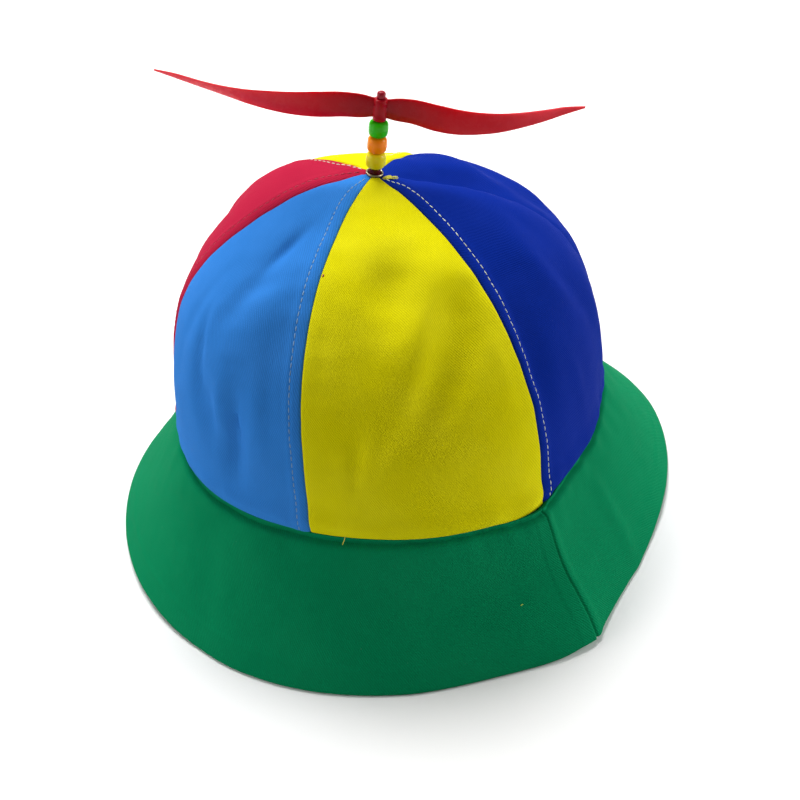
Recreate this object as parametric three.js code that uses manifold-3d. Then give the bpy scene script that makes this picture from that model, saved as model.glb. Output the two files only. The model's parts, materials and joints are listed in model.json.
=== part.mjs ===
// Propeller beanie: a six-gore cotton hat with a sloping brim, standing on its brim edge, with three
// beads and a two-blade propeller on a pin at the top of its crown.
// Lengths are millimetres and angles degrees. +Z is up, the front gore faces -Y, and an azimuth
// runs from -Y towards +X. The origin is on the table, under the middle of the hat's outline.

import * as THREE from 'three';
import { mergeVertices } from 'three/addons/utils/BufferGeometryUtils.js';
import Module from 'manifold-3d';

// Gap left between pieces that are sewn together or lie on each other
const pieceGap = 0.3;

// Crown: a dome of cloth whose lower edge stands above the table by the drop of the brim
const crownBaseRadius = 89;
const crownHeight = 99;
const crownWall = 1.2;
const brimDrop = 48.3;

// Roundness of the crown's meridian: a larger number makes the top flatter or the side steeper
const crownTopExponent = 1.87;
const crownSideExponent = 3.2;
// How far the crown is drawn in halfway up its side, and how far each gore swells between seams
const crownDrawIn = 2.6;
const gorePuff = 2.4;
// The slack crown leans back, a little to the wearer's right, and its seams wind slightly, except for
// one that bows towards the front high up and takes its surroundings along
const crownLeanBack = 14.6;
const crownLeanSide = -2.7;
const crownTwist = -3.6;
const bowedSeam = 269.5;
const bowedSeamHalfWidth = 35;
const seamBow = 9;
const seamBowSweep = 60;
const seamBowHalfSweep = 24;
// The crown's lower edge rides up on one side of the hat
const edgeRise = 5.1;
const edgeRiseAzimuth = -26;
// Greatest depth of the dents and folds in the crown
const foldDepth = 3.4;
// Cloth stays calm within this distance of its sewn edge and of the eyelet
const calmEdge = 5;
const calmTop = 11;

// Brim: two layers of cloth, from under the crown's edge down to the table
const brimEdgeRadius = 118.7;
const brimWall = 2.2;
const brimTuck = 0.3;
const brimHollow = 1.5;
const brimEdgeRound = 1.3;
// The brim is sewn a little off the crown's centre, and its one seam pushes a soft corner outwards
const brimShiftX = 4.1;
const brimShiftY = 1.3;
const brimCornerAzimuth = 24;
const brimCorner = 6.2;
const brimCornerHalfWidth = 12.3;

// Pin through the top: its foot fills the eyelet, its knob keeps the propeller on
const stackLean = 6;
const stackLeanAzimuth = 80;
const axleRadius = 1;
const axleFootRadius = 2.3;
const axleFootHeight = 2.5;
const axleDiscRadius = 5;
const axleDiscThickness = 1.2;
const knobRadius = 1.65;
const knobHeight = 2.5;

// Eyelet: a rolled metal ring, clinched through the tips of the gores
const eyeletFlangeRadius = 3.5;
const eyeletFlangeThickness = 0.8;
const eyeletWall = 0.4;

// Pony beads
const beadRadius = 3.7;
const beadHeight = 6.2;
const beadBoreRadius = 1.5;
const beadRound = 1.3;

// Propeller: one moulding with its hub, twisted so that the blades stand steep beside the hub. The thin
// plastic has curled, so its left blade reaches further than its right one and rises less.
const bladeReachRight = 74.9;
const bladeReachLeft = 83.5;
const bladeChord = 10.4;
const bladeThickness = 1.4;
const bladeTipRiseRight = 8.3;
const bladeTipRiseLeft = 5.7;
const bladeHeightOnHub = 5.2;
const hubRadius = 2.6;
const hubHeight = 8.6;
const hubBoreClearance = 0.3;
const propellerTurn = -13;

// Facet counts
const goreColumns = 12;
const goreRows = 20;
const brimColumns = 96;
const brimRows = 6;
const turnedSides = 16;
const eyeletSides = 24;
const bladeSides = 8;

// The six gores, in order round the crown, with the azimuths of the two seams that bound each
const gores = [
  { name: 'panel_front', colour: 0xe6df00, from: -30, to: 30 },
  { name: 'panel_front_right', colour: 0x0a32af, from: 30, to: 94 },
  { name: 'panel_back_right', colour: 0x0a32af, from: 94, to: 152 },
  { name: 'panel_back', colour: 0xe6df00, from: 152, to: 214 },
  { name: 'panel_back_left', colour: 0xcd2346, from: 214, to: bowedSeam },
  { name: 'panel_front_left', colour: 0x4687cd, from: bowedSeam, to: 330 },
];

// Out-of-roundness of the sewn edge and of the brim's edge: lobes in a turn, their height as a share
// of the radius, and the azimuth of one crest
const sewnEdgeWaves = [
  { lobes: 2, share: 0.033, crest: 123 },
  { lobes: 3, share: 0.03, crest: -11 },
  { lobes: 4, share: 0.0295, crest: 25 },
];
const brimEdgeWaves = [
  { lobes: 2, share: 0.071, crest: 118 },
  { lobes: 3, share: 0.037, crest: -1 },
  { lobes: 4, share: 0.015, crest: 37 },
];

// Soft corners that the brim's seam and the side of the crown give the sewn edge: azimuth, half width,
// how far the edge is pushed out, and how far it sinks
const sewnEdgeCorners = [
  { at: 25, halfWidth: 9, out: 1.4, sink: 1.4 },
  { at: 63, halfWidth: 14, out: 1.4, sink: 0 },
];

// Places where the brim's edge lifts off the table: azimuth, half width, and lift as a share of the drop
const brimLifts = [
  { at: 72, halfWidth: 20, lift: 0.035 },
  { at: 196, halfWidth: 26, lift: 0.05 },
  { at: 292, halfWidth: 22, lift: 0.03 },
];

// Folds and dents of the crown. across and up are shares of the gore's width and of the meridian,
// length and width are half sizes as shares of the crown's radius, turn is the slant from upright,
// and height is a share of the fold depth, negative for a dent.
const folds = [
  { gore: 'panel_front', across: 0.46, up: 0.59, length: 0.19, width: 0.1, turn: 29, height: -0.9 },
  { gore: 'panel_front', across: 0.55, up: 0.48, length: 0.2, width: 0.09, turn: 30, height: 0.75 },
  { gore: 'panel_front', across: 0.74, up: 0.54, length: 0.16, width: 0.09, turn: 43, height: -0.7 },
  { gore: 'panel_front', across: 0.57, up: 0.33, length: 0.34, width: 0.08, turn: 41, height: -0.8 },
  { gore: 'panel_front', across: 0.17, up: 0.22, length: 0.14, width: 0.07, turn: 20, height: -0.5 },
  { gore: 'panel_front_left', across: 0.68, up: 0.67, length: 0.15, width: 0.07, turn: 12, height: -0.7 },
  { gore: 'panel_front_left', across: 0.77, up: 0.53, length: 0.2, width: 0.12, turn: 20, height: 0.6 },
  { gore: 'panel_front_left', across: 0.69, up: 0.19, length: 0.2, width: 0.06, turn: 5, height: -1 },
  { gore: 'panel_front_left', across: 0.55, up: 0.22, length: 0.2, width: 0.07, turn: -28, height: -0.8 },
  { gore: 'panel_back_right', across: 0.05, up: 0.78, length: 0.3, width: 0.08, turn: 0, height: -1 },
  { gore: 'panel_back_right', across: 0.2, up: 0.52, length: 0.14, width: 0.08, turn: -10, height: -0.8 },
  { gore: 'panel_back_right', across: 0.72, up: 0.81, length: 0.12, width: 0.16, turn: 0, height: -0.3 },
  { gore: 'panel_back_right', across: 0.42, up: 0.63, length: 0.13, width: 0.17, turn: 0, height: -1.2 },
  { gore: 'panel_front_right', across: 0.77, up: 0.3, length: 0.3, width: 0.09, turn: 0, height: 0.4 },
  { gore: 'panel_front_right', across: 0.45, up: 0.62, length: 0.2, width: 0.12, turn: 25, height: 0.5 },
  { gore: 'panel_back', across: 0.4, up: 0.45, length: 0.26, width: 0.12, turn: -24, height: -0.8 },
  { gore: 'panel_back', across: 0.6, up: 0.73, length: 0.12, width: 0.18, turn: 10, height: -1.1 },
  { gore: 'panel_back_left', across: 0.43, up: 0.5, length: 0.24, width: 0.1, turn: 18, height: -0.7 },
  { gore: 'panel_back_left', across: 0.74, up: 0.25, length: 0.2, width: 0.08, turn: -8, height: -0.6 },
  { gore: 'panel_back_left', across: 0.64, up: 0.47, length: 0.18, width: 0.2, turn: 0, height: -0.5 },
  { gore: 'panel_back_left', across: 0.37, up: 0.74, length: 0.17, width: 0.2, turn: 0, height: 0.5 },
];

// Blade stations. reach is a share of the blade's own reach, chord and thickness are shares of the
// greatest ones, pitch is in degrees and rise is a share of the tip's rise.
const bladeStations = [
  { reach: 0.01, chord: 0.72, thickness: 1, pitch: 92, rise: -0.06 },
  { reach: 0.035, chord: 0.75, thickness: 1, pitch: 92, rise: -0.06 },
  { reach: 0.07, chord: 0.86, thickness: 1, pitch: 92, rise: -0.06 },
  { reach: 0.16, chord: 0.95, thickness: 0.95, pitch: 91, rise: -0.08 },
  { reach: 0.28, chord: 1, thickness: 0.9, pitch: 87, rise: -0.27 },
  { reach: 0.4, chord: 0.92, thickness: 0.85, pitch: 83, rise: -0.37 },
  { reach: 0.5, chord: 0.8, thickness: 0.8, pitch: 79, rise: -0.33 },
  { reach: 0.6, chord: 0.68, thickness: 0.75, pitch: 69, rise: -0.2 },
  { reach: 0.7, chord: 0.56, thickness: 0.7, pitch: 59, rise: 0.04 },
  { reach: 0.8, chord: 0.44, thickness: 0.66, pitch: 55, rise: 0.34 },
  { reach: 0.91, chord: 0.27, thickness: 0.6, pitch: 60, rise: 0.72 },
  { reach: 1, chord: 0.08, thickness: 0.4, pitch: 62, rise: 0.97 },
];

const degree = Math.PI / 180;
const quarterTurn = Math.PI / 2;

const manifoldLibrary = await Module();
manifoldLibrary.setup();

// Cloth colours and finishes
function material(colour, roughness, metalness = 0) {
  return new THREE.MeshStandardMaterial({ color: colour, roughness, metalness });
}

function namedMesh(name, geometry, finish) {
  const mesh = new THREE.Mesh(geometry, finish);
  mesh.name = name;
  return mesh;
}

// Radius factor of an out-of-round edge at an azimuth
function edgeFactor(waves, azimuth) {
  const ripple = (wave) => wave.share * Math.cos(wave.lobes * (azimuth - wave.crest) * degree);
  return waves.reduce((sum, wave) => sum + ripple(wave), 1);
}

function horizontal(azimuth) {
  return new THREE.Vector3(Math.sin(azimuth * degree), -Math.cos(azimuth * degree), 0);
}

// Smallest signed difference between two azimuths
function azimuthBetween(azimuth, reference) {
  return ((azimuth - reference + 540) % 360) - 180;
}

// How strongly a soft corner is felt at an azimuth, from 0 to 1
function cornerShare(corner, azimuth) {
  return Math.exp(-((azimuthBetween(azimuth, corner.at) / corner.halfWidth) ** 2));
}

function sewnEdgeRadius(azimuth) {
  const pushed = (sum, corner) => sum + corner.out * cornerShare(corner, azimuth);
  return sewnEdgeCorners.reduce(pushed, crownBaseRadius * edgeFactor(sewnEdgeWaves, azimuth));
}

function sewnEdgeRise(azimuth) {
  const sunk = (sum, corner) => sum - corner.sink * cornerShare(corner, azimuth);
  return sewnEdgeCorners.reduce(sunk, edgeRise * Math.cos((azimuth - edgeRiseAzimuth) * degree));
}

// The crown's meridian, swept by a quarter turn: how far out and how high, as shares
function meridianShares(sweep) {
  return {
    out: Math.cos(sweep) ** (2 / crownTopExponent),
    rise: Math.sin(sweep) ** (2 / crownSideExponent),
  };
}

// Running length along the meridian, kept as a table so that a share of it can be looked up
function measureMeridian() {
  const steps = 600;
  const lengths = [0];
  let last = meridianShares(0);
  for (let step = 1; step <= steps; step += 1) {
    const next = meridianShares((step / steps) * quarterTurn);
    const outward = (next.out - last.out) * crownBaseRadius;
    const upward = (next.rise - last.rise) * crownHeight;
    lengths.push(lengths[step - 1] + Math.hypot(outward, upward));
    last = next;
  }
  return lengths;
}

const meridianLengths = measureMeridian();
const meridianLength = meridianLengths[meridianLengths.length - 1];

// Sweep angle at a share of the meridian's length
function sweepAt(up) {
  const steps = meridianLengths.length - 1;
  const wanted = Math.min(Math.max(up, 0), 1) * meridianLength;
  let step = meridianLengths.findIndex((length) => length >= wanted);
  step = Math.max(step, 1);
  const before = meridianLengths[step - 1];
  const part = (wanted - before) / (meridianLengths[step] - before);
  return ((step - 1 + part) / steps) * quarterTurn;
}

// Share of the meridian's length at which the crown narrows to a radius
function upAtRadius(radius, azimuth) {
  const share = Math.min(radius / sewnEdgeRadius(azimuth), 1);
  const sweep = Math.acos(share ** (crownTopExponent / 2));
  const step = (sweep / quarterTurn) * (meridianLengths.length - 1);
  const low = Math.floor(step);
  const high = Math.min(low + 1, meridianLengths.length - 1);
  const length = meridianLengths[low] + (step - low) * (meridianLengths[high] - meridianLengths[low]);
  return length / meridianLength;
}

// How far the folds and dents push the cloth out at a place on the crown
function foldPush(azimuth, up, radius) {
  return folds.reduce((sum, fold) => {
    const gore = gores.find((candidate) => candidate.name === fold.gore);
    const foldAzimuth = gore.from + fold.across * (gore.to - gore.from);
    const along = (up - fold.up) * meridianLength;
    const aside = azimuthBetween(azimuth, foldAzimuth) * degree * radius;
    const slant = fold.turn * degree;
    const lengthwise = along * Math.cos(slant) + aside * Math.sin(slant);
    const crosswise = aside * Math.cos(slant) - along * Math.sin(slant);
    const spread = (lengthwise / (fold.length * crownBaseRadius)) ** 2
      + (crosswise / (fold.width * crownBaseRadius)) ** 2;
    return sum + fold.height * foldDepth * Math.exp(-spread);
  }, 0);
}

// How far the winding of the seams turns the cloth at a place on the crown
function windingAt(azimuth, sweep) {
  const share = Math.exp(-((azimuthBetween(azimuth, bowedSeam) / bowedSeamHalfWidth) ** 2));
  const bow = seamBow * Math.exp(-(((sweep / degree - seamBowSweep) / seamBowHalfSweep) ** 2));
  return crownTwist * (1 - share) * (sweep / quarterTurn) + bow * share;
}

// Direction of the pin, and the point where it comes out of the crown
const stackDirection = horizontal(stackLeanAzimuth).multiplyScalar(Math.sin(stackLean * degree));
stackDirection.z = Math.cos(stackLean * degree);
const crownTop = new THREE.Vector3(crownLeanSide, crownLeanBack, brimDrop + crownHeight);

// Outer surface of the crown, at a share across a gore and a share up the meridian
function crownPoint(gore, across, up) {
  const sweep = sweepAt(up);
  const { out, rise } = meridianShares(sweep);
  const azimuth = gore.from + across * (gore.to - gore.from);
  const turned = azimuth + windingAt(azimuth, sweep);
  const outward = horizontal(turned);
  const slack = Math.sin(2 * sweep);
  const radius = sewnEdgeRadius(turned) * out - crownDrawIn * slack * out;
  const point = outward.clone().multiplyScalar(radius);
  point.x += crownLeanSide * rise;
  point.y += crownLeanBack * rise;
  point.z = brimDrop + crownHeight * rise + sewnEdgeRise(turned) * out;

  const calm = (1 - Math.exp(-((radius / calmTop) ** 2)))
    * (1 - Math.exp(-((up * meridianLength / calmEdge) ** 2)));
  const puff = gorePuff * 4 * across * (1 - across) * slack;
  const push = (puff + foldPush(azimuth, up, radius)) * calm;
  point.addScaledVector(outward, push * Math.cos(sweep));
  point.z += push * Math.sin(sweep);

  // The cloth round the eyelet lies square to the pin
  const aside = point.clone().sub(crownTop).setZ(0);
  const seat = Math.exp(-((aside.length() / calmTop) ** 2));
  point.z -= (aside.dot(stackDirection) / stackDirection.z) * seat;
  return point;
}

// Outward normal of the crown's outer surface, from two short steps along it
function crownNormal(gore, across, up) {
  const step = 0.002;
  const left = crownPoint(gore, across - step, up);
  const right = crownPoint(gore, across + step, up);
  const below = crownPoint(gore, across, Math.max(up - step, 0));
  const above = crownPoint(gore, across, Math.min(up + step, 1));
  return right.sub(left).cross(above.sub(below)).normalize();
}

// A closed wall between two grids of points of the same size, the outer one seen from outside with
// its columns running to the right and its rows running up
function wallGeometry(outer, inner) {
  const columns = outer.length;
  const rows = outer[0].length;
  const positions = [];
  [outer, inner].forEach((grid) => grid.flat().forEach((point) => positions.push(...point.toArray())));
  const innerStart = columns * rows;
  const index = [];
  const quad = (a, b, c, d) => index.push(a, b, c, a, c, d);
  const at = (column, row) => column * rows + row;
  for (let column = 0; column < columns - 1; column += 1) {
    for (let row = 0; row < rows - 1; row += 1) {
      const corners = [at(column, row), at(column + 1, row), at(column + 1, row + 1), at(column, row + 1)];
      const [a, b, c, d] = corners;
      quad(a, b, c, d);
      quad(d + innerStart, c + innerStart, b + innerStart, a + innerStart);
    }
  }
  const rim = (a, b) => quad(b, a, a + innerStart, b + innerStart);
  for (let column = 0; column < columns - 1; column += 1) {
    rim(at(column, 0), at(column + 1, 0));
    rim(at(column + 1, rows - 1), at(column, rows - 1));
  }
  for (let row = 0; row < rows - 1; row += 1) {
    rim(at(columns - 1, row), at(columns - 1, row + 1));
    rim(at(0, row + 1), at(0, row));
  }
  const geometry = new THREE.BufferGeometry();
  geometry.setAttribute('position', new THREE.Float32BufferAttribute(positions, 3));
  geometry.setIndex(index);
  return geometry;
}

// One gore of the crown, from its sewn lower edge to its tip at the eyelet
function makeGore(gore) {
  const tipRadius = eyeletBarrelRadius + pieceGap;
  const outer = [];
  const inner = [];
  for (let column = 0; column <= goreColumns; column += 1) {
    const share = column / goreColumns;
    const azimuth = gore.from + share * (gore.to - gore.from);
    const tip = upAtRadius(tipRadius, azimuth);
    const outerColumn = [];
    const innerColumn = [];
    for (let row = 0; row <= goreRows; row += 1) {
      const up = (row / goreRows) * tip;
      const radius = sewnEdgeRadius(azimuth) * meridianShares(sweepAt(up)).out;
      const edge = pieceGap / 2 / (radius * degree) / (gore.to - gore.from);
      const across = edge + share * (1 - 2 * edge);
      const point = crownPoint(gore, across, up);
      outerColumn.push(point);
      innerColumn.push(point.clone().addScaledVector(crownNormal(gore, across, up), -crownWall));
    }
    outer.push(outerColumn);
    inner.push(innerColumn);
  }
  return wallGeometry(outer, inner);
}

// Height of the brim's edge above the table
function brimEdgeLift(azimuth) {
  return brimLifts.reduce((sum, row) => {
    const aside = azimuthBetween(azimuth, row.at) / row.halfWidth;
    return sum + (Math.abs(aside) < 1 ? row.lift * brimDrop * Math.cos(aside * quarterTurn) ** 2 : 0);
  }, 0);
}

// Upper surface of the brim at a share of its slope, from under the crown's edge to its own edge
function brimPoint(azimuth, down) {
  const corner = azimuthBetween(azimuth, brimCornerAzimuth) / brimCornerHalfWidth;
  const edgeRadius = brimEdgeRadius * edgeFactor(brimEdgeWaves, azimuth)
    + brimCorner * Math.exp(-(corner ** 2));
  const innerRadius = sewnEdgeRadius(azimuth) - brimTuck;
  const radius = innerRadius + (edgeRadius - innerRadius) * down;
  const topHeight = brimDrop + sewnEdgeRise(azimuth) - pieceGap;
  const edgeHeight = brimEdgeLift(azimuth) + brimEdgeRound;
  const point = horizontal(azimuth).multiplyScalar(radius);
  point.x += brimShiftX * down;
  point.y += brimShiftY * down;
  point.z = topHeight + (edgeHeight - topHeight) * down - brimHollow * 4 * down * (1 - down);
  return point;
}

// The brim: its section at each azimuth runs down the upper face, across the flat edge that lies on
// the table, and back up the lower face
function makeBrim() {
  const sections = [];
  for (let column = 0; column < brimColumns; column += 1) {
    const azimuth = (column / brimColumns) * 360;
    const inward = horizontal(azimuth).negate();
    const slope = brimPoint(azimuth, 1).sub(brimPoint(azimuth, 0));
    const run = Math.hypot(slope.x, slope.y);
    const thickness = (brimWall * Math.hypot(run, slope.z)) / -slope.z;
    const upper = [];
    for (let row = 0; row <= brimRows; row += 1) {
      upper.push(brimPoint(azimuth, row / brimRows));
    }
    const lower = upper.map((point) => point.clone().addScaledVector(inward, thickness)).reverse();
    const foot = upper[brimRows].clone().addScaledVector(inward, brimEdgeRound * (run / -slope.z));
    foot.z -= brimEdgeRound;
    lower[0].z -= brimEdgeRound;
    sections.push([...upper, foot, ...lower]);
  }
  const count = sections[0].length;
  const positions = sections.flat().flatMap((point) => point.toArray());
  const index = [];
  sections.forEach((section, column) => {
    const next = (column + 1) % brimColumns;
    for (let place = 0; place < count; place += 1) {
      const after = (place + 1) % count;
      const a = column * count + place;
      const b = column * count + after;
      const c = next * count + after;
      const d = next * count + place;
      index.push(a, b, c, a, c, d);
    }
  });
  const geometry = new THREE.BufferGeometry();
  geometry.setAttribute('position', new THREE.Float32BufferAttribute(positions, 3));
  geometry.setIndex(index);
  return geometry;
}

// Turned pieces stand on the local Z axis, with zero at the crown's outer surface. A profile is a
// list of [radius, height] pairs, which LatheGeometry turns about its own Y axis.
function turned(profile, sides) {
  const points = profile.map(([radius, height]) => new THREE.Vector2(radius, height));
  const geometry = new THREE.LatheGeometry(points, sides);
  geometry.rotateX(quarterTurn);
  geometry.deleteAttribute('normal');
  geometry.deleteAttribute('uv');
  return mergeVertices(geometry, 1e-4);
}

// Heights along the pin, from the crown's outer surface upwards
const eyeletTop = pieceGap + eyeletFlangeThickness;
const eyeletBoreRadius = axleFootRadius + pieceGap;
const eyeletBarrelRadius = eyeletBoreRadius + eyeletWall;
const clothUnderside = -crownWall - pieceGap;
const eyeletBottom = clothUnderside - eyeletFlangeThickness;
const footTop = eyeletTop + axleFootHeight - eyeletFlangeThickness;
const beadPitch = beadHeight + pieceGap;
const beadNames = ['bead_yellow', 'bead_orange', 'bead_green'];
const beadColours = { bead_yellow: 0xd2c828, bead_orange: 0xf07814, bead_green: 0x28aa0a };
const firstBeadBottom = footTop + pieceGap;
const hubBottom = firstBeadBottom + beadNames.length * beadPitch;
const hubTop = hubBottom + hubHeight;

// The eyelet clasps the cloth between its rolled flange above and its clinched flange below
function makeEyelet() {
  const roll = eyeletFlangeThickness / 3;
  return turned([
    [eyeletBoreRadius, eyeletBottom + roll],
    [eyeletBoreRadius, eyeletTop - roll],
    [eyeletBoreRadius + roll, eyeletTop],
    [eyeletFlangeRadius - roll, eyeletTop],
    [eyeletFlangeRadius, eyeletTop - roll],
    [eyeletFlangeRadius, pieceGap],
    [eyeletBarrelRadius, pieceGap],
    [eyeletBarrelRadius, clothUnderside],
    [eyeletFlangeRadius, clothUnderside],
    [eyeletFlangeRadius, eyeletBottom + roll],
    [eyeletFlangeRadius - roll, eyeletBottom],
    [eyeletBoreRadius + roll, eyeletBottom],
    [eyeletBoreRadius, eyeletBottom + roll],
  ].reverse(), eyeletSides);
}

// The pin, with its disc inside the crown, its foot in the eyelet and its knob above the propeller
function makeAxle() {
  const discTop = eyeletBottom - pieceGap;
  const knobBottom = hubTop + pieceGap;
  const knobTop = knobBottom + knobHeight;
  const bevel = 0.4;
  return turned([
    [0, discTop - axleDiscThickness],
    [axleDiscRadius - bevel, discTop - axleDiscThickness],
    [axleDiscRadius, discTop - axleDiscThickness + bevel],
    [axleDiscRadius, discTop],
    [axleFootRadius, discTop],
    [axleFootRadius, footTop - bevel],
    [axleFootRadius - bevel, footTop],
    [axleRadius, footTop],
    [axleRadius, knobBottom],
    [knobRadius, knobBottom + bevel],
    [knobRadius, knobTop - 2 * bevel],
    [knobRadius - bevel, knobTop - bevel],
    [knobRadius - 2 * bevel, knobTop],
    [0, knobTop],
  ], turnedSides);
}

// A barrel-shaped bead with a straight bore, standing on a height
function makeBead(bottom) {
  const top = bottom + beadHeight;
  const shoulder = beadRadius - beadRound / 3;
  return turned([
    [beadBoreRadius, bottom],
    [beadRadius - beadRound, bottom],
    [shoulder, bottom + beadRound / 3],
    [beadRadius, bottom + beadRound],
    [beadRadius, top - beadRound],
    [shoulder, top - beadRound / 3],
    [beadRadius - beadRound, top],
    [beadBoreRadius, top],
    [beadBoreRadius, bottom],
  ], turnedSides);
}

function solidFrom(geometry) {
  const bare = new THREE.BufferGeometry();
  bare.setAttribute('position', geometry.getAttribute('position').clone());
  bare.setIndex(geometry.getIndex());
  const merged = mergeVertices(bare, 1e-4);
  const mesh = new manifoldLibrary.Mesh({
    numProp: 3,
    vertProperties: new Float32Array(merged.getAttribute('position').array),
    triVerts: new Uint32Array(merged.getIndex().array),
  });
  return new manifoldLibrary.Manifold(mesh);
}

function geometryFrom(solid) {
  const mesh = solid.getMesh();
  const geometry = new THREE.BufferGeometry();
  geometry.setAttribute('position', new THREE.Float32BufferAttribute(mesh.vertProperties, 3));
  geometry.setIndex(new THREE.Uint32BufferAttribute(mesh.triVerts, 1));
  return geometry;
}

// One blade, lofted through its stations along local X, with a lens-shaped section
function makeBlade(bladeReach, bladeTipRise) {
  const positions = [];
  const index = [];
  bladeStations.forEach((station) => {
    const reach = station.reach * bladeReach;
    const height = hubBottom + bladeHeightOnHub + station.rise * bladeTipRise;
    const pitch = station.pitch * degree;
    for (let side = 0; side < bladeSides; side += 1) {
      const angle = (side / bladeSides) * 2 * Math.PI;
      const chordwise = (Math.cos(angle) * station.chord * bladeChord) / 2;
      const through = (Math.sin(angle) * station.thickness * bladeThickness) / 2;
      const y = chordwise * Math.cos(pitch) - through * Math.sin(pitch);
      const z = chordwise * Math.sin(pitch) + through * Math.cos(pitch);
      positions.push(reach, y, height + z);
    }
  });
  const last = (bladeStations.length - 1) * bladeSides;
  for (let station = 0; station < last; station += bladeSides) {
    for (let side = 0; side < bladeSides; side += 1) {
      const after = (side + 1) % bladeSides;
      const a = station + side;
      const b = station + after;
      index.push(a, b, b + bladeSides, a, b + bladeSides, a + bladeSides);
    }
  }
  for (let side = 1; side < bladeSides - 1; side += 1) {
    index.push(0, side + 1, side);
    index.push(last, last + side, last + side + 1);
  }
  const geometry = new THREE.BufferGeometry();
  geometry.setAttribute('position', new THREE.Float32BufferAttribute(positions, 3));
  geometry.setIndex(index);
  return geometry;
}

// The propeller: a round hub with a running bore, and two blades half a turn apart
function makePropeller() {
  const bevel = 0.5;
  const hub = solidFrom(turned([
    [0, hubBottom],
    [hubRadius - bevel, hubBottom],
    [hubRadius, hubBottom + bevel],
    [hubRadius, hubTop - bevel],
    [hubRadius - bevel, hubTop],
    [0, hubTop],
  ], turnedSides));
  const boreRadius = axleRadius + hubBoreClearance;
  const boreOverrun = 1;
  const bore = solidFrom(turned([
    [0, hubBottom - boreOverrun],
    [boreRadius, hubBottom - boreOverrun],
    [boreRadius, hubTop + boreOverrun],
    [0, hubTop + boreOverrun],
  ], turnedSides));
  const rightBlade = makeBlade(bladeReachRight, bladeTipRiseRight);
  const leftBlade = makeBlade(bladeReachLeft, bladeTipRiseLeft).rotateZ(Math.PI);
  const body = hub.add(solidFrom(rightBlade)).add(solidFrom(leftBlade));
  return geometryFrom(body.subtract(bore));
}

const hat = new THREE.Group();
gores.forEach((gore) => hat.add(namedMesh(gore.name, makeGore(gore), material(gore.colour, 0.85))));
hat.add(namedMesh('brim', makeBrim(), material(0x007d4b, 0.85)));

// Everything on the pin stands square to it at the top of the crown
const stack = new THREE.Group();
stack.position.copy(crownTop);
stack.quaternion.setFromUnitVectors(new THREE.Vector3(0, 0, 1), stackDirection);
stack.add(namedMesh('eyelet', makeEyelet(), material(0xc8c4b4, 0.3, 1)));
stack.add(namedMesh('axle', makeAxle(), material(0x960a14, 0.35)));
beadNames.forEach((name, place) => {
  const bead = makeBead(firstBeadBottom + place * beadPitch);
  stack.add(namedMesh(name, bead, material(beadColours[name], 0.35)));
});
const propeller = namedMesh('propeller', makePropeller(), material(0xa00f1e, 0.25));
propeller.rotation.z = propellerTurn * degree;
stack.add(propeller);
hat.add(stack);

// The origin is under the middle of the hat's outline
const middle = new THREE.Box3().setFromObject(hat, true).getCenter(new THREE.Vector3());
hat.position.set(-middle.x, -middle.y, 0);

const beanie = new THREE.Group();
beanie.add(hat);
export default beanie;
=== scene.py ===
"""Propeller beanie: a six-gore cotton hat with a sloping brim, standing on its brim edge, with three
beads and a two-blade propeller on a pin at the top of its crown.

Sizes are millimetres and angles degrees unless a name says otherwise. +Z is up, the front gore faces
-Y, and an azimuth runs from -Y towards +X."""

import json
import math

import bmesh
import bpy
import numpy as np
from mathutils import Matrix, Vector


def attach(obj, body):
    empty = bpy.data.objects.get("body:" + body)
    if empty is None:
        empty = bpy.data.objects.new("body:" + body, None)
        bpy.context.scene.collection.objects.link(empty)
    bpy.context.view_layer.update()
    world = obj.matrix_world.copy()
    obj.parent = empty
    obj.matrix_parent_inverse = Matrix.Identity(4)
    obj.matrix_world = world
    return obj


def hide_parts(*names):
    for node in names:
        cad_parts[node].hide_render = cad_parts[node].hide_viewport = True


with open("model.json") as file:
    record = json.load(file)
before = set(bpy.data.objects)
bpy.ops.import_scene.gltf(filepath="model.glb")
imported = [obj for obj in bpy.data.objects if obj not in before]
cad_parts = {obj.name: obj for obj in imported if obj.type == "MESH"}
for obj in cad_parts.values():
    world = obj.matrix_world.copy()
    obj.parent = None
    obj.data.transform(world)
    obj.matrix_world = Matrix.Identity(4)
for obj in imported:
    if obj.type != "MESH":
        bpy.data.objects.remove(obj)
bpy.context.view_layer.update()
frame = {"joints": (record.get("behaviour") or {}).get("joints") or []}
scene = bpy.context.scene

# Crown. Six petal-shaped gores of cotton twill, two yellow, two royal blue, one red and one sky blue,
# are sewn edge to edge and meet at the eyelet. The crown is unlined and slack, so it keeps the dents
# and folds that it was put down with. Its lower edge is turned under and sewn to the brim.

MM = 0.001
crown_base_radius = 89
crown_height = 99
crown_wall = 1.2
brim_drop = 48.3
crown_top_exponent = 1.87
crown_side_exponent = 3.2
crown_draw_in = 2.6
gore_puff = 2.4
crown_lean = np.array([-2.7, 14.6, 0])
crown_twist = -3.6
# The seams wind a little, except for one that bows towards the front high up and takes its
# surroundings along
bowed_seam = 269.5
bowed_seam_half_width = 35
seam_bow = 9
seam_bow_sweep = 60
seam_bow_half_sweep = 24
edge_rise = 5.1
edge_rise_azimuth = -26
calm_edge = 5
calm_top = 11
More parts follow.
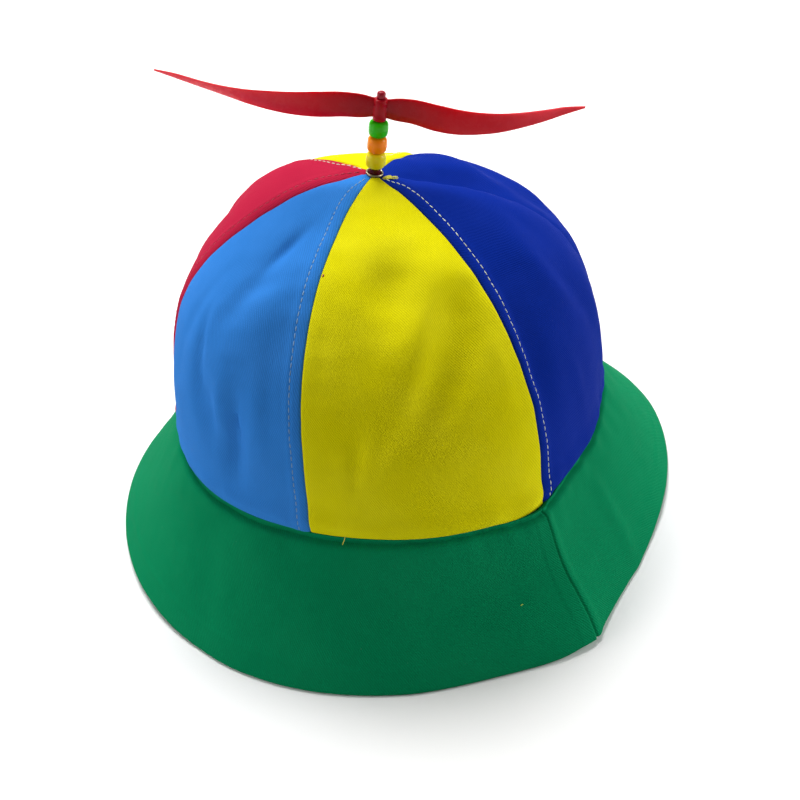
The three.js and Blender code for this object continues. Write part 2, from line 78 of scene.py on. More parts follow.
# Each gore has its material slot, the azimuths of its two seams, and the thread of the topstitching
# beside those seams whose allowances are pressed towards it
GORES = [
    {"name": "panel_front", "slot": "fabric_yellow", "from": -30, "to": 30, "topstitched": {}},
    {"name": "panel_front_right", "slot": "fabric_royal", "from": 30, "to": 94,
     "topstitched": {"from": "cream"}},
    {"name": "panel_back_right", "slot": "fabric_royal", "from": 94, "to": 152, "topstitched": {}},
    {"name": "panel_back", "slot": "fabric_yellow", "from": 152, "to": 214,
     "topstitched": {"from": "cream"}},
    {"name": "panel_back_left", "slot": "fabric_red", "from": 214, "to": bowed_seam,
     "topstitched": {"from": "cream", "to": "red"}},
    {"name": "panel_front_left", "slot": "fabric_sky", "from": bowed_seam, "to": 330,
     "topstitched": {"to": "grey"}},
]
# Lobes of the sewn edge: how many in a turn, their height as a share of the radius, one crest's azimuth
SEWN_EDGE_WAVES = [(2, 0.033, 123), (3, 0.03, -11), (4, 0.0295, 25)]
# Soft corners of the sewn edge: azimuth, half width, how far it is pushed out, and how far it sinks
SEWN_EDGE_CORNERS = [(25, 9, 1.4, 1.4), (63, 14, 1.4, 0)]
# Folds and dents: gore, place across and up it as shares, half length and half width as shares of the
# crown's radius, slant from upright, and height, which is negative for a dent
fold_depth = 3.4
FOLDS = [
    ("panel_front", 0.46, 0.59, 0.19, 0.1, 29, -0.9),
    ("panel_front", 0.55, 0.48, 0.2, 0.09, 30, 0.75),
    ("panel_front", 0.74, 0.54, 0.16, 0.09, 43, -0.7),
    ("panel_front", 0.57, 0.33, 0.34, 0.08, 41, -0.8),
    ("panel_front", 0.17, 0.22, 0.14, 0.07, 20, -0.5),
    ("panel_front_left", 0.68, 0.67, 0.15, 0.07, 12, -0.7),
    ("panel_front_left", 0.77, 0.53, 0.2, 0.12, 20, 0.6),
    ("panel_front_left", 0.69, 0.19, 0.2, 0.06, 5, -1),
    ("panel_front_left", 0.55, 0.22, 0.2, 0.07, -28, -0.8),
    ("panel_back_right", 0.05, 0.78, 0.3, 0.08, 0, -1),
    ("panel_back_right", 0.2, 0.52, 0.14, 0.08, -10, -0.8),
    ("panel_back_right", 0.72, 0.81, 0.12, 0.16, 0, -0.3),
    ("panel_back_right", 0.42, 0.63, 0.13, 0.17, 0, -1.2),
    ("panel_front_right", 0.77, 0.3, 0.3, 0.09, 0, 0.4),
    ("panel_front_right", 0.45, 0.62, 0.2, 0.12, 25, 0.5),
    ("panel_back", 0.4, 0.45, 0.26, 0.12, -24, -0.8),
    ("panel_back", 0.6, 0.73, 0.12, 0.18, 10, -1.1),
    ("panel_back_left", 0.43, 0.5, 0.24, 0.1, 18, -0.7),
    ("panel_back_left", 0.74, 0.25, 0.2, 0.08, -8, -0.6),
    ("panel_back_left", 0.64, 0.47, 0.18, 0.2, 0, -0.5),
    ("panel_back_left", 0.37, 0.74, 0.17, 0.2, 0, 0.5),
]

# The pin's line in the frame gives the place of the crown's top, and so of the whole hat
pin_joint = frame["joints"][0]
pin_axis = np.array(pin_joint["axis"])
pin_point = np.array(pin_joint["pos_m"]) / MM
crown_top_height = brim_drop + crown_height
pin_foot = pin_point - pin_axis * (pin_point[2] - crown_top_height) / pin_axis[2]
hat_middle = (pin_foot - crown_lean) * (1, 1, 0)


def horizontal(azimuth):
    angle = np.radians(azimuth)
    return np.stack([np.sin(angle), -np.cos(angle), np.zeros_like(angle)], -1)


def azimuth_between(azimuth, reference):
    return (azimuth - reference + 540) % 360 - 180


def edge_factor(waves, azimuth):
    return 1 + sum(share * np.cos(np.radians(lobes * (azimuth - crest))) for lobes, share, crest in waves)


def corner_share(azimuth, place, half_width):
    return np.exp(-((azimuth_between(azimuth, place) / half_width) ** 2))


def sewn_edge_radius(azimuth):
    pushed = 0
    for place, half_width, out, _ in SEWN_EDGE_CORNERS:
        pushed += out * corner_share(azimuth, place, half_width)
    return crown_base_radius * edge_factor(SEWN_EDGE_WAVES, azimuth) + pushed


def sewn_edge_rise(azimuth):
    sunk = 0
    for place, half_width, _, sink in SEWN_EDGE_CORNERS:
        sunk += sink * corner_share(azimuth, place, half_width)
    return edge_rise * np.cos(np.radians(azimuth - edge_rise_azimuth)) - sunk


def meridian_shares(sweep):
    out = np.cos(sweep).clip(0) ** (2 / crown_top_exponent)
    return out, np.sin(sweep).clip(0) ** (2 / crown_side_exponent)


SWEEPS = np.linspace(0, math.pi / 2, 6001)
meridian_out, meridian_rise = meridian_shares(SWEEPS)
meridian_steps = np.hypot(np.diff(meridian_out) * crown_base_radius, np.diff(meridian_rise) * crown_height)
MERIDIAN = np.concatenate([[0], np.cumsum(meridian_steps)])
meridian_length = MERIDIAN[-1]


def sweep_at(up):
    return np.interp(np.clip(up, 0, 1) * meridian_length, MERIDIAN, SWEEPS)


def up_at_radius(radius, azimuth):
    share = np.minimum(radius / sewn_edge_radius(azimuth), 1)
    return np.interp(np.arccos(share ** (crown_top_exponent / 2)), SWEEPS, MERIDIAN) / meridian_length


def gore_azimuth(gore, across):
    return gore["from"] + across * (gore["to"] - gore["from"])


def wound(azimuth, sweep):
    """An azimuth turned by the winding of the seams."""
    share = np.exp(-((azimuth_between(azimuth, bowed_seam) / bowed_seam_half_width) ** 2))
    bow = seam_bow * np.exp(-(((np.degrees(sweep) - seam_bow_sweep) / seam_bow_half_sweep) ** 2))
    return azimuth + crown_twist * (1 - share) * sweep / (math.pi / 2) + bow * share


def crown_radius(gore, across, up):
    sweep = sweep_at(up)
    out, _ = meridian_shares(sweep)
    turned = wound(gore_azimuth(gore, across), sweep)
    return sewn_edge_radius(turned) * out - crown_draw_in * np.sin(2 * sweep) * out


def fold_push(azimuth, up, radius):
    push = np.zeros_like(azimuth)
    for name, across, height_share, length, width, turn, height in FOLDS:
        gore = next(row for row in GORES if row["name"] == name)
        along = (up - height_share) * meridian_length
        aside = np.radians(azimuth_between(azimuth, gore_azimuth(gore, across))) * radius
        slant = math.radians(turn)
        lengthwise = (along * math.cos(slant) + aside * math.sin(slant)) / (length * crown_base_radius)
        crosswise = (aside * math.cos(slant) - along * math.sin(slant)) / (width * crown_base_radius)
        push += height * fold_depth * np.exp(-(lengthwise**2) - crosswise**2)
    return push


def crown_point(gore, across, up, swell=gore_puff):
    """Outer face of the crown at a share across a gore and a share up the meridian."""
    sweep = sweep_at(up)
    out, rise = meridian_shares(sweep)
    azimuth = gore_azimuth(gore, across)
    turned = wound(azimuth, sweep)
    outward = horizontal(turned)
    slack = np.sin(2 * sweep)
    radius = crown_radius(gore, across, up)
    height = brim_drop + crown_height * rise + sewn_edge_rise(turned) * out
    point = outward * radius[..., None] + crown_lean * rise[..., None]
    point[..., 2] += height
    calm_up = 1 - np.exp(-((up * meridian_length / calm_edge) ** 2))
    calm = calm_up * (1 - np.exp(-((radius / calm_top) ** 2)))
    puff = swell * 4 * across * (1 - across) * slack
    push = (puff + fold_push(azimuth, up, radius)) * calm
    point += outward * (push * np.cos(sweep))[..., None]
    point[..., 2] += push * np.sin(sweep)
    # The cloth round the eyelet lies square to the pin
    aside = (point - crown_lean)[..., :2]
    seat = np.exp(-((np.linalg.norm(aside, axis=-1) / calm_top) ** 2))
    point[..., 2] -= aside @ pin_axis[:2] / pin_axis[2] * seat
    return point + hat_middle


def crown_normal(gore, across, up):
    """Normals of the crown without the swell of its gores, so that two gores agree along their seam."""
    step = 0.002
    sideways = crown_point(gore, across + step, up, 0) - crown_point(gore, across - step, up, 0)
    above = crown_point(gore, across, np.minimum(up + step, 1), 0)
    upwards = above - crown_point(gore, across, np.maximum(up - step, 0), 0)
    normal = np.cross(sideways, upwards)
    return normal / np.linalg.norm(normal, axis=-1, keepdims=True)


def ripples(points, seed, count, shortest, longest):
    """Slow waves in all directions, about 1 high, between two wavelengths."""
    random = np.random.default_rng(seed)
    total = np.zeros(points.shape[:-1])
    for _ in range(count):
        direction = random.normal(size=3)
        direction *= 2 * math.pi / (np.linalg.norm(direction) * random.uniform(shortest, longest))
        total += np.cos(points @ direction + random.uniform(0, 2 * math.pi))
    return total / math.sqrt(count / 2)


def smooth_step(low, high, value):
    """From 0 at low to 1 at high, also where low is the greater one."""
    share = np.clip((value - low) / (high - low), 0, 1)
    return share * share * (3 - 2 * share)


# Seams: a fine valley, with the allowances pressed to the topstitched side in a band that stands proud.
# The seam between the two royal gores has its allowances spread, and lies in a soft broad valley.
seam_gap = 0.1
seam_valley = 0.42
seam_valley_width = 0.42
spread_seam_azimuth = 94
spread_seam_valley = 0.5
spread_seam_width = 2.4
band_height = 0.5
band_width = 5.8
band_ramp = 2.8
stitch_distance = 4.2
stitch_groove = 0.22
stitch_groove_width = 0.55
pucker_height = 0.12
pucker_reach = 6
sewn_edge_pucker = 0.3
# The front gore slumps inwards below the crown's top, between these shares up it
slump = 3.2
slump_top = 0.68
slump_bottom = 0.47
slump_half_width = 0.38
# The turned edge rolls out a little above the brim
edge_roll = 0.9
edge_roll_run = 4.5
edge_roll_width = 3.5
crown_wrinkle = 0.22
crown_fine_wrinkle = 0.05
# Creases of the slack cloth: gore, place across and up it as shares, half length, half width, slant
# from upright, and height, which is negative for a crease that sinks
CREASES = [
    ("panel_front", 0.4, 0.62, 11, 8, 12, -2.4),
    ("panel_front", 0.5, 0.5, 12, 3.5, 44, 0.4),
    ("panel_front", 0.68, 0.43, 27, 8, 33, -2.6),
    ("panel_front", 0.8, 0.52, 12, 7, 30, -1.0),
    ("panel_front", 0.22, 0.42, 18, 10, 0, -0.8),
    ("panel_front", 0.15, 0.2, 9, 2.2, 8, 0.7),
    ("panel_front", 0.21, 0.18, 11, 2.2, 12, -0.8),
    ("panel_front", 0.28, 0.22, 9, 2.8, 15, 0.6),
    ("panel_front", 0.35, 0.2, 12, 3, 24, -0.5),
    ("panel_front", 0.91, 0.45, 24, 3.5, 0, 0.5),
    ("panel_front_left", 0.64, 0.66, 11, 2.4, 10, -0.8),
    ("panel_front_left", 0.73, 0.66, 11, 3, 12, 0.7),
    ("panel_front_left", 0.6, 0.52, 16, 5, 22, -0.8),
    ("panel_front_left", 0.5, 0.5, 14, 4, 22, 0.3),
    ("panel_front_left", 0.7, 0.57, 9, 4, 60, -0.7),
    ("panel_front_left", 0.45, 0.35, 14, 2.2, -10, -1.4),
    ("panel_front_left", 0.3, 0.4, 22, 4, 8, -0.7),
    ("panel_front_left", 0.68, 0.2, 13, 1.5, 3, -1.6),
    ("panel_front_left", 0.6, 0.22, 13, 2.6, 3, 1.1),
    ("panel_front_left", 0.86, 0.3, 20, 3, -4, -0.6),
    ("panel_front_right", 0.08, 0.36, 27, 9, 0, -2.6),
    ("panel_front_right", 0.42, 0.5, 16, 8, -12, 1.6),
    ("panel_front_right", 0.6, 0.38, 18, 5, -20, -0.9),
    ("panel_front_right", 0.36, 0.22, 16, 4, -14, 0.7),
    ("panel_front_right", 0.75, 0.66, 14, 6, -8, 0.8),
    ("panel_back_right", 0.4, 0.4, 20, 6, 14, -0.9),
    ("panel_back_right", 0.7, 0.3, 16, 5, -18, 0.7),
    ("panel_back", 0.3, 0.3, 18, 5, 22, -0.9),
    ("panel_back", 0.66, 0.42, 20, 6, -16, 0.8),
    ("panel_back_left", 0.35, 0.34, 18, 5, -14, -0.8),
    ("panel_back_left", 0.6, 0.6, 14, 6, 12, 0.7),
]


def seam_relief(distance, run, azimuth, topstitched):
    """Height of the cloth beside one seam, at a distance from it and a run along it."""
    spread_seam = azimuth == spread_seam_azimuth
    valley = spread_seam_valley if spread_seam else seam_valley
    valley_width = spread_seam_width if spread_seam else seam_valley_width
    relief = -valley * np.exp(-((distance / valley_width) ** 2))
    seed = int(azimuth) % 360
    along = np.stack([run, np.full_like(run, 17.0 * seed), np.zeros_like(run)], -1)
    reach = np.exp(-((distance - 3) / pucker_reach) ** 2)
    relief += pucker_height * reach * ripples(along, 40 + seed, 9, 6, 13)
    if topstitched:
        band_end = smooth_step(band_width - 1.4, band_width + 1.6, distance)
        relief += band_height * smooth_step(0.05, band_ramp, distance) * (1 - band_end)
        relief -= stitch_groove * np.exp(-(((distance - stitch_distance) / stitch_groove_width) ** 2))
    return relief


def crease_relief(gore, across, up, width):
    """Height of the slump and the creases of a gore that is so wide at each place."""
    relief = np.zeros_like(across)
    if gore["name"] == "panel_front":
        fallen = smooth_step(slump_top, slump_bottom, up) * smooth_step(0, slump_bottom, up)
        relief -= slump * fallen * np.exp(-(((across - 0.5) / slump_half_width) ** 2))
    for name, place, height_share, half_length, half_width, slant, height in CREASES:
        if name != gore["name"]:
            continue
        along = (up - height_share) * meridian_length
        aside = (across - place) * width
        turn = math.radians(slant)
        lengthwise = (along * math.cos(turn) + aside * math.sin(turn)) / half_length
        crosswise = (aside * math.cos(turn) - along * math.sin(turn)) / half_width
        relief += height * np.exp(-(lengthwise**2) - crosswise**2)
    return relief


def cloth_face(gore, across, up):
    """Outer face of a gore with its seams, puckers and small wrinkles, and its normals."""
    point = crown_point(gore, across, up)
    normal = crown_normal(gore, across, up)
    radius = crown_radius(gore, across, up)
    width = radius * math.radians(gore["to"] - gore["from"])
    run = up * meridian_length
    near_top = smooth_step(4, 16, radius)
    relief = np.zeros_like(across)
    for edge, distance in (("from", across * width), ("to", (1 - across) * width)):
        beside = seam_relief(distance, run, gore[edge], edge in gore["topstitched"])
        relief += beside * (0.35 + 0.65 * near_top)
    from_seam = np.minimum(across, 1 - across) * width
    wrinkles = crown_wrinkle * ripples(point, 3, 14, 30, 75)
    wrinkles += crown_fine_wrinkle * ripples(point, 5, 14, 8, 18)
    wrinkles += crease_relief(gore, across, up, width) * smooth_step(0, 7, from_seam)
    relief += wrinkles * near_top * smooth_step(0, 14, run)
    azimuth = gore_azimuth(gore, across)
    gather = ripples(horizontal(azimuth) * crown_base_radius, 8, 12, 7, 16)
    relief += sewn_edge_pucker * gather * np.exp(-((run / 9) ** 2)) * (1 - np.exp(-((run / 1.5) ** 2)))
    relief += edge_roll * np.exp(-(((run - edge_roll_run) / edge_roll_width) ** 2)) * smooth_step(0, 3, run)
    return point + normal * relief[..., None], normal


def cloth_mesh(name, points, faces, place_on_cloth):
    """A mesh from millimetre points and quads, with a UV map that is the cloth laid flat in decimetres."""
    mesh = bpy.data.meshes.new(name)
    mesh.from_pydata((points * MM).tolist(), [], faces.tolist())
    corners = np.empty(len(mesh.loops), np.int64)
    mesh.loops.foreach_get("vertex_index", corners)
    laid_flat = mesh.uv_layers.new(name="cloth")
    laid_flat.uv.foreach_set("vector", (place_on_cloth[corners] / 100).astype(np.float32).ravel())
    return mesh


def finished(name, mesh, material):
    """The object of a finished mesh, smooth but for its real edges."""
    tidy = bmesh.new()
    tidy.from_mesh(mesh)
    bmesh.ops.remove_doubles(tidy, verts=tidy.verts, dist=1e-7)
    tidy.to_mesh(mesh)
    tidy.free()
    mesh.shade_smooth()
    mesh.set_sharp_from_angle(angle=math.radians(50))
    mesh.materials.append(material)
    piece = bpy.data.objects.new(name, mesh)
    scene.collection.objects.link(piece)
    return piece


def grid_faces(rows, columns, start=0, flipped=False):
    """Quads of a grid of points stored row by row, seen from the side where columns run to the right
    and rows run up."""
    row, column = np.meshgrid(np.arange(rows - 1), np.arange(columns - 1), indexing="ij")
    corner = (row * columns + column).ravel() + start
    quads = np.stack([corner, corner + 1, corner + columns + 1, corner + columns], -1)
    return quads[:, ::-1] if flipped else quads


# Rows of a gore's grid lie this close, and its columns crowd towards the seams at these distances
gore_row_pitch = 0.9
gore_middle_columns = 36
SEAM_COLUMNS = np.array([0, 0.2, 0.4, 0.6, 0.85, 1.15, 1.6, 2.2, 2.9, 3.5, 3.85, 4.2, 4.55, 5, 5.8, 6.8, 8])
edge_arc_steps = 4
eyelet_barrel_radius = 3
piece_gap = 0.3


def gore_columns(gore, up):
    """Shares across the gore of its grid's columns, for each row."""
    middle = crown_radius(gore, np.full_like(up, 0.5), up)
    width = middle * math.radians(gore["to"] - gore["from"])
    squeeze = np.minimum(1, 0.34 * width / SEAM_COLUMNS[-1])
    left = (seam_gap / 2 + SEAM_COLUMNS * squeeze[:, None]) / width[:, None]
    spread = np.linspace(0, 1, gore_middle_columns + 2)[1:-1]
    centre = left[:, -1:] + (1 - 2 * left[:, -1:]) * spread
    return np.concatenate([left, centre, 1 - left[:, ::-1]], 1)


def make_gore(gore):
    """The gore's wall: both faces, the rounded lower edge, and the two sides that meet its neighbours."""
    half_wall = crown_wall / 2
    tip = up_at_radius(eyelet_barrel_radius + piece_gap, (gore["from"] + gore["to"]) / 2)
    rows = int(tip * meridian_length / gore_row_pitch)
    ups = np.linspace(half_wall / meridian_length, tip, rows)
    across = gore_columns(gore, ups)
    up = np.repeat(ups[:, None], across.shape[1], 1)
    face, normal = cloth_face(gore, across, up)
    lining = face - normal * crown_wall
    upwards = face[1] - face[0]
    upwards /= np.linalg.norm(upwards, axis=-1, keepdims=True)
    centre = face[0] - normal[0] * half_wall
    turns = np.radians(np.linspace(0, 90, edge_arc_steps, endpoint=False))[:, None, None]
    dip = -upwards * np.cos(turns) * half_wall
    swing = normal[0] * np.sin(turns) * half_wall
    outer = np.concatenate([centre + dip + swing, face])
    inner = np.concatenate([centre + dip - swing, lining])
    width = crown_radius(gore, across, up) * math.radians(gore["to"] - gore["from"])
    on_cloth = np.stack([(across - 0.5) * width, up * meridian_length], -1)
    below = on_cloth[:1] - np.array([0, half_wall]) * np.cos(turns)
    on_cloth = np.concatenate([np.broadcast_to(below, outer[:edge_arc_steps, :, :2].shape), on_cloth])
    count, columns = outer.shape[:2]
    size = count * columns
    index = np.arange(size).reshape(count, columns)
    faces = [grid_faces(count, columns), grid_faces(count, columns, size, True)]
    for rim in (index[::-1, 0], index[:, -1], index[-1, ::-1]):
        faces.append(np.stack([rim[:-1], rim[:-1] + size, rim[1:] + size, rim[1:]], -1))
    points = np.concatenate([outer.reshape(-1, 3), inner.reshape(-1, 3)])
    places = np.concatenate([on_cloth.reshape(-1, 2)] * 2)
    mesh = cloth_mesh(gore["name"], points, np.concatenate(faces), places)
    quads = np.cross(np.diff(face, axis=0)[:, :-1], np.diff(face, axis=1)[:-1])
    area = np.linalg.norm(quads, axis=-1).sum()
    flat_size = (width[0].max() * MM, meridian_length * MM)
    return mesh, flat_size, area * MM**2


# Cotton twill: fine steep ribs that run down to the right, slightly uneven yarn, and a matt face that has
# faded a little at random. The ribs carry painted shade: their colour is darker in the hollows between them
# and lighter where they stand proud.
rib_pitch = 0.75
rib_slant = 57
weave_depth = 0.08 * MM
# How strongly the weave's hollows are painted darker than its crests, as painted shade
rib_shade_strength = 0.3
CLOTH_COLOURS = {
    "fabric_yellow": (0.62, 0.57, 0.0),
    "fabric_royal": (0.0005, 0.017, 0.235),
    "fabric_red": (0.385, 0.01, 0.04),
    "fabric_sky": (0.026, 0.18, 0.55),
    "fabric_green": (0.0, 0.2, 0.077),
}


def place_node(tree, kind, sockets=None, **settings):
    """A new node, with its settings, and its sockets given as values or as sockets to link from."""
    node = tree.nodes.new(kind)
    for name, value in settings.items():
        setattr(node, name, value)
    for key, value in (sockets or {}).items():
        if isinstance(value, bpy.types.NodeSocket):
            tree.links.new(value, node.inputs[key])
        else:
            node.inputs[key].default_value = value
    return node


def arithmetic(tree, operation, *values):
    return place_node(tree, "ShaderNodeMath", dict(enumerate(values)), operation=operation).outputs[0]


def spread(tree, value, low, high, new_low, new_high):
    """The value moved from one range to another."""
    sockets = {"Value": value, "From Min": low, "From Max": high, "To Min": new_low, "To Max": new_high}
    return place_node(tree, "ShaderNodeMapRange", sockets).outputs[0]


def noise(tree, vector, scale, detail=2.0, roughness=0.5):
    sockets = {"Vector": vector, "Scale": scale, "Detail": detail, "Roughness": roughness}
    return place_node(tree, "ShaderNodeTexNoise", sockets).outputs["Fac"]


def blend(tree, share, first, second):
    """A colour between two, each given as a colour or as a socket."""
    first, second = [(*colour, 1) if isinstance(colour, tuple) else colour for colour in (first, second)]
    sockets = {0: share, 6: first, 7: second}
    return place_node(tree, "ShaderNodeMix", sockets, data_type="RGBA").outputs[2]


def new_material(name):
    material = bpy.data.materials.new(name)
    material.use_nodes = True
    return material, material.node_tree, material.node_tree.nodes["Principled BSDF"]


def feed_shader(tree, shader, colour, roughness, height, depth, strength=1.0):
    """Links colour and roughness, and a height as bumps of a depth in metres."""
    sockets = {"Height": height, "Distance": depth, "Strength": strength}
    relief = place_node(tree, "ShaderNodeBump", sockets)
    for label, socket in (("Base Color", colour), ("Roughness", roughness), ("Normal", relief.outputs[0])):
        tree.links.new(socket, shader.inputs[label])


def effect_group(name, inputs, outputs):
    """An empty shader group with its sockets, each given as a name, a kind and a value."""
    group = bpy.data.node_groups.new(name, "ShaderNodeTree")
    for label, kind, value in inputs:
        socket = group.interface.new_socket(label, in_out="INPUT", socket_type=f"NodeSocket{kind}")
        if value is not None:
            socket.default_value = value
    for label, kind in outputs:
        group.interface.new_socket(label, in_out="OUTPUT", socket_type=f"NodeSocket{kind}")
    return group, group.nodes.new("NodeGroupInput"), group.nodes.new("NodeGroupOutput")


def twill_weave_group():
    inputs = [
        ("Cloth", "Vector", None), ("Rib pitch", "Float", rib_pitch),
        ("Rib slant", "Float", math.radians(rib_slant)),
    ]
    group, given, result = effect_group("twill weave", inputs, [("Height", "Float"), ("Painted rib shade", "Float")])
    cloth = given.outputs["Cloth"]
    wander = arithmetic(group, "SUBTRACT", noise(group, cloth, 0.16), 0.5)
    wander = arithmetic(group, "MULTIPLY", wander, 5.0)
    sockets = {"Vector": cloth, "Angle": given.outputs["Rib slant"]}
    turned = place_node(group, "ShaderNodeVectorRotate", sockets, rotation_type="Z_AXIS")
    parts = place_node(group, "ShaderNodeSeparateXYZ", {0: turned.outputs[0]})
    waves = arithmetic(group, "DIVIDE", 2 * math.pi, given.outputs["Rib pitch"])
    phase = arithmetic(group, "MULTIPLY_ADD", parts.outputs["Y"], waves, wander)
    rib = arithmetic(group, "MULTIPLY_ADD", arithmetic(group, "SINE", phase), 0.5, 0.5)
    closer = arithmetic(group, "MULTIPLY", waves, 0.8)
    half_phase = arithmetic(group, "MULTIPLY", phase, 0.5)
    crossing = arithmetic(group, "MULTIPLY_ADD", parts.outputs["X"], closer, half_phase)
    yarn = arithmetic(group, "MULTIPLY_ADD", arithmetic(group, "SINE", crossing), 0.16, 0.84)
    fuzz = spread(group, noise(group, cloth, 3.2, 3.0, 0.65), 0.3, 0.7, -0.2, 0.2)
    height = arithmetic(group, "MULTIPLY_ADD", rib, yarn, fuzz)
    group.links.new(height, result.inputs["Height"])
    # Painted shade of the weave: the colour is darker where the ribs and yarn lie low and lighter where they
    # stand proud
    uneven = spread(group, noise(group, cloth, 0.5, 2.0), 0.3, 0.7, 0.55, 1.0)
    rib_shade_value = arithmetic(group, "MULTIPLY_ADD", arithmetic(group, "SUBTRACT", height, 0.45), uneven, 0.5)
    group.links.new(rib_shade_value, result.inputs["Painted rib shade"])
    return group


def worn_cotton_and_rib_shade_group():
    inputs = [
        ("Cloth", "Vector", None), ("Dye", "Color", None), ("Rib shading", "Float", 0.5),
        ("Rib shading strength", "Float", rib_shade_strength),
    ]
    outputs = [("Colour", "Color"), ("Roughness", "Float")]
    group, given, result = effect_group("worn cotton and rib shade", inputs, outputs)
    cloth = given.outputs["Cloth"]
    fading = spread(group, noise(group, cloth, 0.035, 3.0), 0.3, 0.7, -0.035, 0.035)
    long_yarns = place_node(group, "ShaderNodeMapping", {"Vector": cloth, "Scale": (2.4, 0.12, 1)})
    slubs = spread(group, noise(group, long_yarns.outputs[0], 1.0, 2.0), 0.3, 0.7, -0.02, 0.02)
    # The weave's painted shade darkens the dye in its hollows and lightens it on its crests
    weave = arithmetic(group, "SUBTRACT", given.outputs["Rib shading"], 0.5)
    weave = arithmetic(group, "MULTIPLY", weave, given.outputs["Rib shading strength"])
    uneven = arithmetic(group, "ADD", fading, slubs)
    value = arithmetic(group, "ADD", uneven, arithmetic(group, "ADD", weave, 1.0))
    saturation = spread(group, fading, -0.035, 0.035, 1.0, 0.99)
    sockets = {"Saturation": saturation, "Value": value, "Color": given.outputs["Dye"]}
    dyed = place_node(group, "ShaderNodeHueSaturation", sockets).outputs[0]
    lint = spread(group, noise(group, cloth, 0.9, 1.0), 0.81, 0.86, 0.0, 0.12)
    group.links.new(blend(group, lint, dyed, (0.75, 0.74, 0.7)), result.inputs["Colour"])
    group.links.new(spread(group, fading, -0.035, 0.035, 0.82, 0.94), result.inputs["Roughness"])
    return group


TWILL_WEAVE = twill_weave_group()
WORN_COTTON_AND_RIB_SHADE = worn_cotton_and_rib_shade_group()


def cloth_material(slot):
    material, tree, shader = new_material(slot)
    dye = CLOTH_COLOURS[slot]
    shader.inputs["Sheen Weight"].default_value = 0.014
    shader.inputs["Sheen Roughness"].default_value = 0.45
    shader.inputs["Sheen Tint"].default_value = (*[0.3 + 0.7 * part for part in dye], 1)
    shader.inputs["Specular IOR Level"].default_value = 0.03
    laid_flat = place_node(tree, "ShaderNodeUVMap", uv_map="cloth")
    in_mm = place_node(tree, "ShaderNodeMapping", {"Vector": laid_flat.outputs[0], "Scale": (100, 100, 1)})
    weave = place_node(tree, "ShaderNodeGroup", node_tree=TWILL_WEAVE)
    cotton = place_node(tree, "ShaderNodeGroup", node_tree=WORN_COTTON_AND_RIB_SHADE)
    tree.links.new(in_mm.outputs[0], weave.inputs["Cloth"])
    tree.links.new(in_mm.outputs[0], cotton.inputs["Cloth"])
    # The weave's painted rib shade goes into the cotton's colour
    tree.links.new(weave.outputs["Painted rib shade"], cotton.inputs["Rib shading"])
    cotton.inputs["Dye"].default_value = (*dye, 1)
    colour, roughness = cotton.outputs["Colour"], cotton.outputs["Roughness"]
    feed_shader(tree, shader, colour, roughness, weave.outputs["Height"], weave_depth)
    return material


CLOTH = {slot: cloth_material(slot) for slot in CLOTH_COLOURS}
for gore in GORES:
    gore_mesh, flat_size, flat_area = make_gore(gore)
    panel = finished("cloth_" + gore["name"], gore_mesh, CLOTH[gore["slot"]])
    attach(panel, "hat")
    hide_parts(gore["name"])

# Topstitching. A row of polyester lockstitches runs up each seam whose allowances are pressed to one
# side, and holds them flat: cream on the front right, back and back left gores, grey on the sky blue
# one, and red along the other side of the red one.

stitch_pitch = 2.6
stitch_length = 2.1
stitch_thickness = 0.4
stitch_unevenness = 0.09
topstitch_bottom = 1.5
topstitch_top_radius = 7


def topstitch_path(gore, edge):
    """Points and normals along one row of stitches, from the sewn edge to beside the eyelet."""
    top = up_at_radius(topstitch_top_radius, gore[edge])
    up = np.linspace(topstitch_bottom / meridian_length, top, 240)
    near = 0.02 if edge == "from" else 0.98
    radius = crown_radius(gore, np.full_like(up, near), up)
    width = radius * math.radians(gore["to"] - gore["from"])
    distance = stitch_distance * smooth_step(-6, 24, radius)
    share = distance / width
    across = share if edge == "from" else 1 - share
    return cloth_face(gore, across, up)


